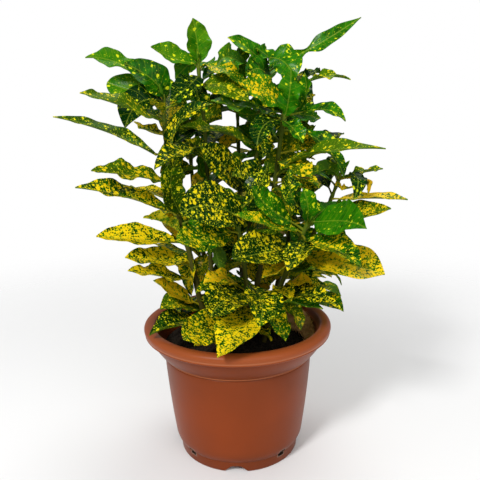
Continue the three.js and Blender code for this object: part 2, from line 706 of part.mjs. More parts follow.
function viewLeaf([from, via, to, wide, show, shape = PLAIN], step) {
  const start = onView(from);
  const middle = onView([via[0], via[1], via[2] + step / 2]);
  const tip = onView([to[0], to[1], to[2] + step]);
  const axis = tip.clone().sub(start).normalize();
  const towardEye = EYE.clone().sub(middle).normalize();
  const across = new THREE.Vector3().crossVectors(axis, towardEye).normalize();
  if (across.z < 0) across.negate();
  const facing = new THREE.Vector3().crossVectors(across, axis).normalize();
  if (facing.dot(towardEye) < 0) facing.negate();
  const face = facing.multiplyScalar(show).addScaledVector(across, Math.sqrt(1 - show ** 2));
  const isLong = shape === ROUND || start.distanceTo(tip) > LONG_BLADE;
  const stations = shape === WAISTED ? WAISTED_STATIONS : (isLong ? LONG_STATIONS : SHORT_STATIONS);
  return { start, middle, tip, face, wide, shape, stations };
}

function backLeaf(leaf, [turnStep, riseStep]) {
  const turn = (leaf.turn + turnStep) * DEGREE;
  const rise = (leaf.rise + riseStep) * DEGREE;
  const outward = new THREE.Vector3(Math.cos(turn), Math.sin(turn), 0);
  const start = leaf.root.clone()
    .addScaledVector(outward, leaf.stalk * Math.cos(rise))
    .addScaledVector(UP, leaf.stalk * Math.sin(rise));
  const tip = start.clone()
    .addScaledVector(outward, leaf.long * Math.cos(rise))
    .addScaledVector(UP, leaf.long * Math.sin(rise));
  const middle = start.clone().lerp(tip, 0.5).addScaledVector(UP, leaf.arch);
  const axis = tip.clone().sub(start).normalize();
  const face = UP.clone().addScaledVector(axis, -UP.dot(axis)).normalize();
  face.applyAxisAngle(axis, leaf.roll * DEGREE);
  return { start, middle, tip, face, wide: leaf.wide, shape: PLAIN, stations: SHORT_STATIONS };
}

// Three points across the blade at a share of its length, from its left edge to its right,
// and the direction of its thickness there
function bladeSection(blade, share) {
  const { start, middle, tip } = blade;
  const control = middle.clone().multiplyScalar(2)
    .addScaledVector(start, -0.5)
    .addScaledVector(tip, -0.5);
  const place = start.clone().multiplyScalar((1 - share) ** 2)
    .addScaledVector(control, 2 * share * (1 - share))
    .addScaledVector(tip, share ** 2);
  const along = control.clone().sub(start).multiplyScalar(1 - share)
    .addScaledVector(tip.clone().sub(control), share)
    .normalize();
  const side = new THREE.Vector3().crossVectors(along, blade.face).normalize();
  const normal = new THREE.Vector3().crossVectors(side, along);
  const full = Math.max(bladeWidthShare(share, blade.shape) * blade.wide, 0);
  const narrowest = share < 0.5 ? PETIOLE_WIDTH : TIP_WIDTH;
  const half = Math.max(full, narrowest) / 2;
  const wave = blade.wave * Math.sin(Math.PI * share);
  const edge = (hand) => {
    const ripple = wave * Math.sin(2 * Math.PI * (blade.waves * share + blade.phase + 0.21 * hand));
    return place.clone()
      .addScaledVector(side, hand * half * Math.cos(blade.cup))
      .addScaledVector(normal, (half * Math.sin(blade.cup)) / 2 + ripple);
  };
  const keel = place.clone().addScaledVector(normal, (-half * Math.sin(blade.cup)) / 2);
  return { points: [edge(-1), keel, edge(1)], normal };
}

function sheetOf(blade, offset) {
  const rows = blade.stations.map((share) => {
    const { points, normal } = bladeSection(blade, share);
    return points.map((p) => p.clone().addScaledVector(normal, offset));
  });
  const triangles = [];
  for (let i = 0; i < rows.length - 1; i += 1) {
    for (const [edge, mid] of [[0, 1], [2, 1]]) {
      triangles.push([rows[i][edge], rows[i][mid], rows[i + 1][mid]]);
      triangles.push([rows[i][edge], rows[i + 1][mid], rows[i + 1][edge]]);
    }
  }
  return triangles;
}

// Whether a straight stretch passes through a triangle
const edge1 = new THREE.Vector3();
const edge2 = new THREE.Vector3();
const sideways = new THREE.Vector3();
const toCorner = new THREE.Vector3();
const turned = new THREE.Vector3();
const stretch = new THREE.Vector3();
function passesThrough(from, to, [a, b, c]) {
  stretch.subVectors(to, from);
  edge1.subVectors(b, a);
  edge2.subVectors(c, a);
  sideways.crossVectors(stretch, edge2);
  const size = edge1.dot(sideways);
  if (Math.abs(size) < 1e-9) return false;
  toCorner.subVectors(from, a);
  const u = toCorner.dot(sideways) / size;
  if (u < 0 || u > 1) return false;
  turned.crossVectors(toCorner, edge1);
  const v = stretch.dot(turned) / size;
  if (v < 0 || u + v > 1) return false;
  const along = edge2.dot(turned) / size;
  return along >= 0 && along <= 1;
}

function sheetsCross(one, other) {
  const goesThrough = (sheet, target) => sheet.some(([a, b, c]) => target.some((triangle) => (
    passesThrough(a, b, triangle) || passesThrough(b, c, triangle) || passesThrough(c, a, triangle)
  )));
  return goesThrough(one, other) || goesThrough(other, one);
}

// The place on its own stem where a leaf stalk is rooted: the nearest to a little below it
const ROOT_SAMPLES = 40;
const ROOT_DROP = 6;
const stemPlaces = new Map(STEMS.map((stem) => {
  const curve = stemCurve(stem);
  return [stem.name, Array.from({ length: ROOT_SAMPLES + 1 },
    (_, i) => curve.getPoint(i / ROOT_SAMPLES))];
}));

function stalkRoot(stemName, start) {
  const below = start.clone().addScaledVector(UP, -ROOT_DROP);
  return stemPlaces.get(stemName).reduce((nearest, place) => (
    place.distanceTo(below) < nearest.distanceTo(below) ? place : nearest));
}

// A leaf stalk as two crossed strips, with room round it
function stalkSheet(stemName, start) {
  const root = stalkRoot(stemName, start);
  const level = new THREE.Vector3().crossVectors(UP, start.clone().sub(root)).normalize();
  const half = PETIOLE_WIDTH / 2 + CLEARANCE;
  return [UP, level].flatMap((way) => {
    const corners = [[root, half], [root, -half], [start, half], [start, -half]]
      .map(([place, offset]) => place.clone().addScaledVector(way, offset));
    return [[corners[0], corners[1], corners[2]], [corners[1], corners[3], corners[2]]];
  });
}

function boxOf(triangles) {
  return new THREE.Box3().setFromPoints(triangles.flat()).expandByScalar(CLEARANCE);
}

// What a leaf has to stay clear of
const stemSheets = STEMS.map((stem) => {
  const curve = stemCurve(stem);
  const triangles = [];
  const rings = [];
  for (let i = 0; i <= STEM_STEPS; i += 1) {
    const share = i / STEM_STEPS;
    rings.push(ringAt(curve.getPoint(share), curve.getTangent(share),
      stemRadius(stem, share) + CLEARANCE, STEM_SIDES));
  }
  for (let i = 0; i < STEM_STEPS; i += 1) {
    for (let j = 0; j < STEM_SIDES; j += 1) {
      const k = (j + 1) % STEM_SIDES;
      triangles.push([rings[i][j], rings[i][k], rings[i + 1][k]]);
      triangles.push([rings[i][j], rings[i + 1][k], rings[i + 1][j]]);
    }
  }
  return { stem: stem.name, triangles, box: boxOf(triangles) };
});

function potSheet() {
  const sides = 24;
  const rows = [[innerRadius(150), 150], [innerRadius(172), 172], [MOUTH_RADIUS - 4, POT_HEIGHT + 2],
    [RIM_RADIUS + 3, POT_HEIGHT + 2], [RIM_RADIUS + 3, LIP_HEIGHT]];
  const triangles = [];
  const point = ([radius, height], j) => new THREE.Vector3(
    (radius / Math.cos(Math.PI / sides)) * Math.cos((2 * Math.PI * j) / sides),
    (radius / Math.cos(Math.PI / sides)) * Math.sin((2 * Math.PI * j) / sides), height);
  for (let i = 0; i < rows.length - 1; i += 1) {
    for (let j = 0; j < sides; j += 1) {
      const corners = [point(rows[i], j), point(rows[i], j + 1), point(rows[i + 1], j + 1),
        point(rows[i + 1], j)];
      triangles.push([corners[0], corners[1], corners[2]], [corners[0], corners[2], corners[3]]);
    }
  }
  return triangles;
}

const potTriangles = potSheet();
const potBox = boxOf(potTriangles);
const sights = OPEN_SIGHTS.map(([across, down]) => [onView([across, down, -140]),
  onView([across, down, 260])]);

const placed = [];

function clashes(blade, stem, hidden) {
  const middle = sheetOf(blade, 0);
  const stalk = stalkSheet(stem, blade.start);
  const layers = [middle, sheetOf(blade, CLEARANCE), sheetOf(blade, -CLEARANCE), stalk];
  const box = boxOf([...middle, ...stalk]);
  let count = 0;
  for (const other of placed) {
    if (!other.box.intersectsBox(box)) continue;
    const crossed = other.stem === stem
      ? sheetsCross(middle, other.triangles)
      : layers.some((layer) => sheetsCross(layer, other.reach));
    if (crossed) count += other.stem === stem ? 1 : 4;
  }
  for (const other of stemSheets) {
    if (other.stem === stem || !other.box.intersectsBox(box)) continue;
    if (sheetsCross([...middle, ...stalk], other.triangles)) count += 4;
  }
  if (potBox.intersectsBox(box) && sheetsCross(middle, potTriangles)) count += 4;
  if (hidden) {
    const outside = ({ across, down }) => across < HIDDEN_VIEW.left || across > HIDDEN_VIEW.right
      || down < HIDDEN_VIEW.top || down > HIDDEN_VIEW.bottom;
    count += middle.flat().filter((p) => outside(viewOf(p)) || p.y > REACH_BEHIND).length;
    count += sights.filter(([near, far]) => middle.some((t) => passesThrough(near, far, t))).length;
  }
  return count;
}

// Places a leaf at the first step of bending that is clear, or at the one that crosses least.
// A hidden leaf that is never clear is left out.
function settle(stem, steps, make, hidden) {
  let best = null;
  for (const step of steps) {
    const blade = make(step);
    const count = clashes(blade, stem, hidden);
    if (best === null || count < best.count) best = { blade, count };
    if (count === 0) break;
  }
  if (hidden && best.count > 0) return;
  const triangles = sheetOf(best.blade, 0);
  const reach = [...triangles, ...stalkSheet(stem, best.blade.start)];
  placed.push({ stem, triangles, reach, box: boxOf(reach), blade: best.blade });
}

const draw = makeDraw(20240611);

function drawForm() {
  return {
    cup: (10 + 16 * draw()) * DEGREE,
    wave: 1 + 1.8 * draw(),
    waves: 1.4 + 1.1 * draw(),
    phase: draw(),
  };
}

function settleViewLeaves(groups) {
  groups.forEach(({ stem, leaves }) => leaves.forEach((leaf) => {
    const form = drawForm();
    settle(stem, SIGHT_STEPS, (step) => ({ ...viewLeaf(leaf, step), ...form }), false);
  }));
}

settleViewLeaves(VIEW_LEAVES);

BACK_LEAVES.forEach((group) => {
  const curve = stemCurve(STEMS.find(({ name }) => name === group.stem));
  for (let i = 0; i < group.count; i += 1) {
    const height = i / (group.count - 1);
    const around = ((i * GOLDEN_SHARE) % 1) - 0.5;
    const form = drawForm();
    const long = group.long * (0.82 + 0.3 * draw()) * (1 - 0.22 * height);
    const leaf = {
      root: curve.getPoint(group.low + (group.high - group.low) * height),
      turn: group.facing + around * group.spread + 10 * (draw() - 0.5),
      rise: -6 + 46 * height ** 1.5 + 16 * (draw() - 0.5),
      stalk: 12 + 10 * draw(),
      long,
      arch: long * (0.07 + 0.09 * draw()),
      wide: long * LEAF_SLENDERNESS * (0.85 + 0.35 * draw()),
      roll: 34 * (draw() - 0.5),
    };
    settle(group.stem, TURN_STEPS, (step) => ({ ...backLeaf(leaf, step), ...form }), true);
  }
});

settleViewLeaves(LATE_LEAVES);

const LEAF_FLIPS = [false, true, false, false, true, false];

function buildLeaf(stem, blade) {
  const root = stalkRoot(stem.name, blade.start);
  const along = blade.start.clone().sub(root).normalize();
  const side = new THREE.Vector3().crossVectors(along, blade.face).normalize();
  const normal = new THREE.Vector3().crossVectors(side, along);
  const ring = (points, up, middle, edge) => [
    points[0].clone().addScaledVector(up, edge / 2),
    points[1].clone().addScaledVector(up, middle / 2),
    points[2].clone().addScaledVector(up, edge / 2),
    points[2].clone().addScaledVector(up, -edge / 2),
    points[1].clone().addScaledVector(up, -middle / 2),
    points[0].clone().addScaledVector(up, -edge / 2),
  ];
  const rootPoints = [-1, 0, 1].map((hand) => root.clone()
    .addScaledVector(side, (hand * PETIOLE_WIDTH) / 2));
  const rings = [ring(rootPoints, normal, PETIOLE_THICKNESS, PETIOLE_THICKNESS * 0.6)];
  blade.stations.forEach((share, i) => {
    const { points, normal: up } = bladeSection(blade, share);
    const thick = i === 0 ? PETIOLE_THICKNESS * 0.8 : BLADE_THICKNESS;
    rings.push(ring(points, up, thick, EDGE_THICKNESS));
  });
  return skinOver(rings, LEAF_FLIPS);
}

function buildLeafyStem(stem) {
  const leaves = placed.filter((leaf) => leaf.stem === stem.name);
  return leaves.reduce((solid, leaf) => solid.add(buildLeaf(stem, leaf.blade)), buildStem(stem));
}

// Materials
const terracotta = { color: 0x97492b, roughness: 0.42, metalness: 0 };
const pottingSoil = { color: 0x1b1410, roughness: 0.95, metalness: 0 };
const coirFibre = { color: 0x6b4524, roughness: 0.9, metalness: 0 };
const leafGreen = { color: 0x4d7a1c, roughness: 0.35, metalness: 0 };

// The whole plant in its pot
const croton = new THREE.Group();

function addPiece(name, solid, look) {
  const mesh = new THREE.Mesh(toGeometry(solid), new THREE.MeshStandardMaterial(look));
  mesh.name = name;
  croton.add(mesh);
}

addPiece('pot', buildPot(), terracotta);
addPiece('soil', buildSoil(), pottingSoil);
addPiece('coir', buildCoir(), coirFibre);
STEMS.forEach((stem) => addPiece(`leafy_stem_${stem.name}`, buildLeafyStem(stem), leafGreen));

export default croton;
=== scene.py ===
"""The looks of a potted gold-dust croton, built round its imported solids.

Sizes are in millimetres and become metres where a mesh is made. The plant is laid out as
the front view shows it: a place is a point of that view, in the view's own pixels, and a
depth behind the pot's axis.
"""

import math
from collections import namedtuple

import bmesh
import bpy
import numpy as np
from mathutils import Euler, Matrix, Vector, noise
from mathutils.bvhtree import BVHTree
from mathutils.kdtree import KDTree


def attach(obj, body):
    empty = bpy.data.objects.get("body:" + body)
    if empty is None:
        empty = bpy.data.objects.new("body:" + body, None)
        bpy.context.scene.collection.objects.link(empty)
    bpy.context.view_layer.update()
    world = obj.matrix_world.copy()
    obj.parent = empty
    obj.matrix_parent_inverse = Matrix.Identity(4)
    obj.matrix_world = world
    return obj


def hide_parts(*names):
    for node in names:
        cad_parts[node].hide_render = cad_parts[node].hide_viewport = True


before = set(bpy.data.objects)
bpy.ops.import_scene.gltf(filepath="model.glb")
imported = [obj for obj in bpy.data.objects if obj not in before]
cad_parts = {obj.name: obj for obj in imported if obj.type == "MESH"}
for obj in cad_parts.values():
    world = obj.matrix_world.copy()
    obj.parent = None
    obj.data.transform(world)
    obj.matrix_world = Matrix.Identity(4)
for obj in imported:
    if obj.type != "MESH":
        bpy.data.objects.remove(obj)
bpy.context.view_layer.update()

bl_info = {
    "name": "Potted croton",
    "version": (1, 0, 0),
    "blender": (4, 5, 0),
    "location": "3D View > Sidebar > Croton",
    "description": "Builds the visible pot, soil, coir and leafy stems of a potted croton",
    "category": "Object",
}

MM = 0.001
UP = np.array((0.0, 0.0, 1.0))
BODY = "root"

# The view that the plant is laid out in
EYE = np.array((5.2, -733.0, 460.0))
LOOK_DOWN = math.radians(12.77)
VIEW_ROLL = math.radians(-0.88)
FOCAL_PIXELS = 560.0
VIEW_PIXELS = 480.0
VIEW_CENTRE = VIEW_PIXELS / 2
SENSOR_MM = 36.0

# Pot: sizes, turns in degrees and places of its outline as radius and height
FOOT_RADIUS = 82.4
FOOT_TOP_RADIUS = 83.4
FOOT_HEIGHT = 14.0
FOOT_WIDTH = 6.0
UNDERSIDE_HEIGHT = 6.0
FLOOR_HEIGHT = 10.0
BODY_BOTTOM_RADIUS = 89.4
BODY_BOTTOM_HEIGHT = 26.0
BODY_BULGE = 1.2
GROOVE_RADIUS = 101.1
GROOVE_HEIGHT = 138.6
GROOVE_DEPTH = 0.9
LIP_RADIUS = 126.0
LIP_HEIGHT = 171.0
RIM_RADIUS = 128.0
RIM_HEIGHT = 176.5
POT_HEIGHT = 183.0
MOUTH_RADIUS = 113.4
MOUTH_HEIGHT = POT_HEIGHT - 1.3
WALL = 2.8
FOOT_BEND = (87.0, 18.8)
NECK_BEND = (107.4, 145.8)
NECK_TOP = (113.4, 154.0)
FLARE_BEND = (117.8, 161.2)
FLARE_TOP = (121.0, 168.2)
LIP_UNDERSIDE = [(121.8, 168.4), (125.2, 168.3)]
RIM_BEND = (127.5, 173.6)
RIM_SHOULDER = (126.6, 180.6)
RIM_INSIDE = (116.6, 182.7)
INSIDE_HEIGHTS = (168.0, 156.0, 110.0, 70.0)
ARCH_COUNT = 4
ARCH_TURN = -93.0
ARCH_WIDTH = 34.0
ARCH_HEIGHT = 8.6
ARCH_SHOULDER = 13.0
SLOT_COUNT = 4
SLOT_TURN = -48.0
SLOT_WIDTH = 10.6
SLOT_HEIGHT = 9.8
SLOT_MIDDLE = 15.0
SLOT_CORNER = 3.0
ARCH_DROP = 4.0
ARCH_REACH = (68.4, 92.4)
SLOT_REACH = (72.4, 94.4)
POT_CREASE = math.radians(38)

# Small edges of the pot, as steps in radius and height from the foot, the groove and the lip
FOOT_EDGE = ((-1.2, 0.0), (-0.3, 0.35), (0.0, 1.2))
LEDGE = ((-0.15, -1.2), (-GROOVE_DEPTH, -0.3), (0.1 - GROOVE_DEPTH, 0.3), (0.7, 0.6),
         (1.3, 1.1), (1.7, 1.7), (1.5, 2.5))
LIP_BEAD = ((0.2, -2.0), (0.8, -1.1), (0.5, 0.0))

# Soil and coir, and how clear they keep of the pot
GAP = 0.3
FILL_GAP = 0.8
SOIL_HEIGHT = 150.0
SOIL_CROWN = 4.0
SOIL_BEND_HEIGHT = 82.0
COIR_START = -8.0
COIR_END = 118.0
COIR_WIDTH = 23.0
COIR_HEIGHT = 24.0
HUMMOCK_SPACING = 16.0
HUMMOCK_HEIGHT = 1.6
LUMP_SPACING = 5.0
LUMP_HEIGHT = 2.2

# Stems: view places with depth, and the radius at the soil and at the top
STEM_FOOT = 97.3
STEM_START = SOIL_HEIGHT + SOIL_CROWN + 2
STEMS = {
    "left": (5.4, 2.4, ((212, 342, 6), (200, 300, 0), (196, 280, -4), (190, 255, -8),
                        (181, 225, -10), (172, 185, -8), (167, 150, -5), (164, 120, 0),
                        (164, 97, 5))),
    "top": (5.0, 2.4, ((222, 336, 25), (216, 300, 24), (211, 265, 22), (209, 220, 20),
                       (207, 170, 18), (204, 120, 14), (200, 85, 10), (198, 62, 8))),
    "crown": (4.8, 2.4, ((238, 332, 48), (243, 280, 46), (250, 220, 42), (256, 160, 34),
                         (258, 110, 28), (258, 80, 24))),
    "upper_right": (5.2, 2.4, ((250, 338, 14), (256, 290, 16), (266, 240, 18),
                               (274, 190, 16), (279, 150, 10), (283, 122, 4),
                               (284, 106, 2))),
    "right_outer": (4.6, 2.2, ((270, 338, 32), (288, 290, 36), (308, 245, 36),
                               (326, 210, 32), (337, 184, 26), (342, 170, 22))),
    "right_front": (4.8, 2.4, ((264, 348, -14), (274, 305, -22), (288, 268, -32),
                               (301, 238, -44), (308, 222, -50))),
    "front": (5.0, 2.4, ((242, 350, -20), (247, 318, -26), (247, 292, -34),
                         (244, 262, -44), (240, 236, -50), (236, 216, -54))),
    "back_left": (4.6, 2.4, ((220, 329, 52), (207, 270, 62), (196, 210, 70),
                             (190, 150, 74), (188, 112, 76))),
    "back": (4.8, 2.4, ((244, 324, 70), (242, 270, 82), (240, 200, 90), (238, 130, 94),
                        (237, 92, 94))),
    "back_right": (4.6, 2.4, ((266, 327, 56), (281, 270, 68), (294, 210, 76),
                              (302, 155, 80), (306, 122, 80))),
}

# How a leaf is coloured: how light its green is, the share of it that is gold, and how far
# that gold has aged to mustard
LEAF_KINDS = {
    "plain": (0.50, -0.05, 0.0),
    "young": (0.70, 0.00, 0.05),
    "lime": (0.60, 0.08, 0.2),
    "fresh": (0.44, 0.07, 0.0),
    "deep": (-0.10, 0.06, 0.0),
    "grassy": (0.28, 0.07, 0.0),
    "dusky": (-0.14, 0.22, 0.12),
    "splashed": (-0.14, 0.29, 0.1),
    "pale": (0.34, 0.14, 0.0),
    "flecked": (0.12, 0.20, 0.0),
    "speckled": (0.12, 0.22, 0.3),
    "spotted": (0.0, 0.28, 0.12),
    "dappled": (0.25, 0.33, 0.1),
    "striped": (0.50, 0.35, 0.2),
    "shaded": (0.14, 0.31, 0.4),
    "olive": (0.40, 0.25, 0.6),
    "mottled": (0.14, 0.42, 0.15),
    "aged": (0.20, 0.44, 0.6),
    "golden": (0.14, 0.57, 0.1),
    "ripe": (0.24, 0.60, 0.4),
    "mustard": (0.18, 0.72, 0.65),
}

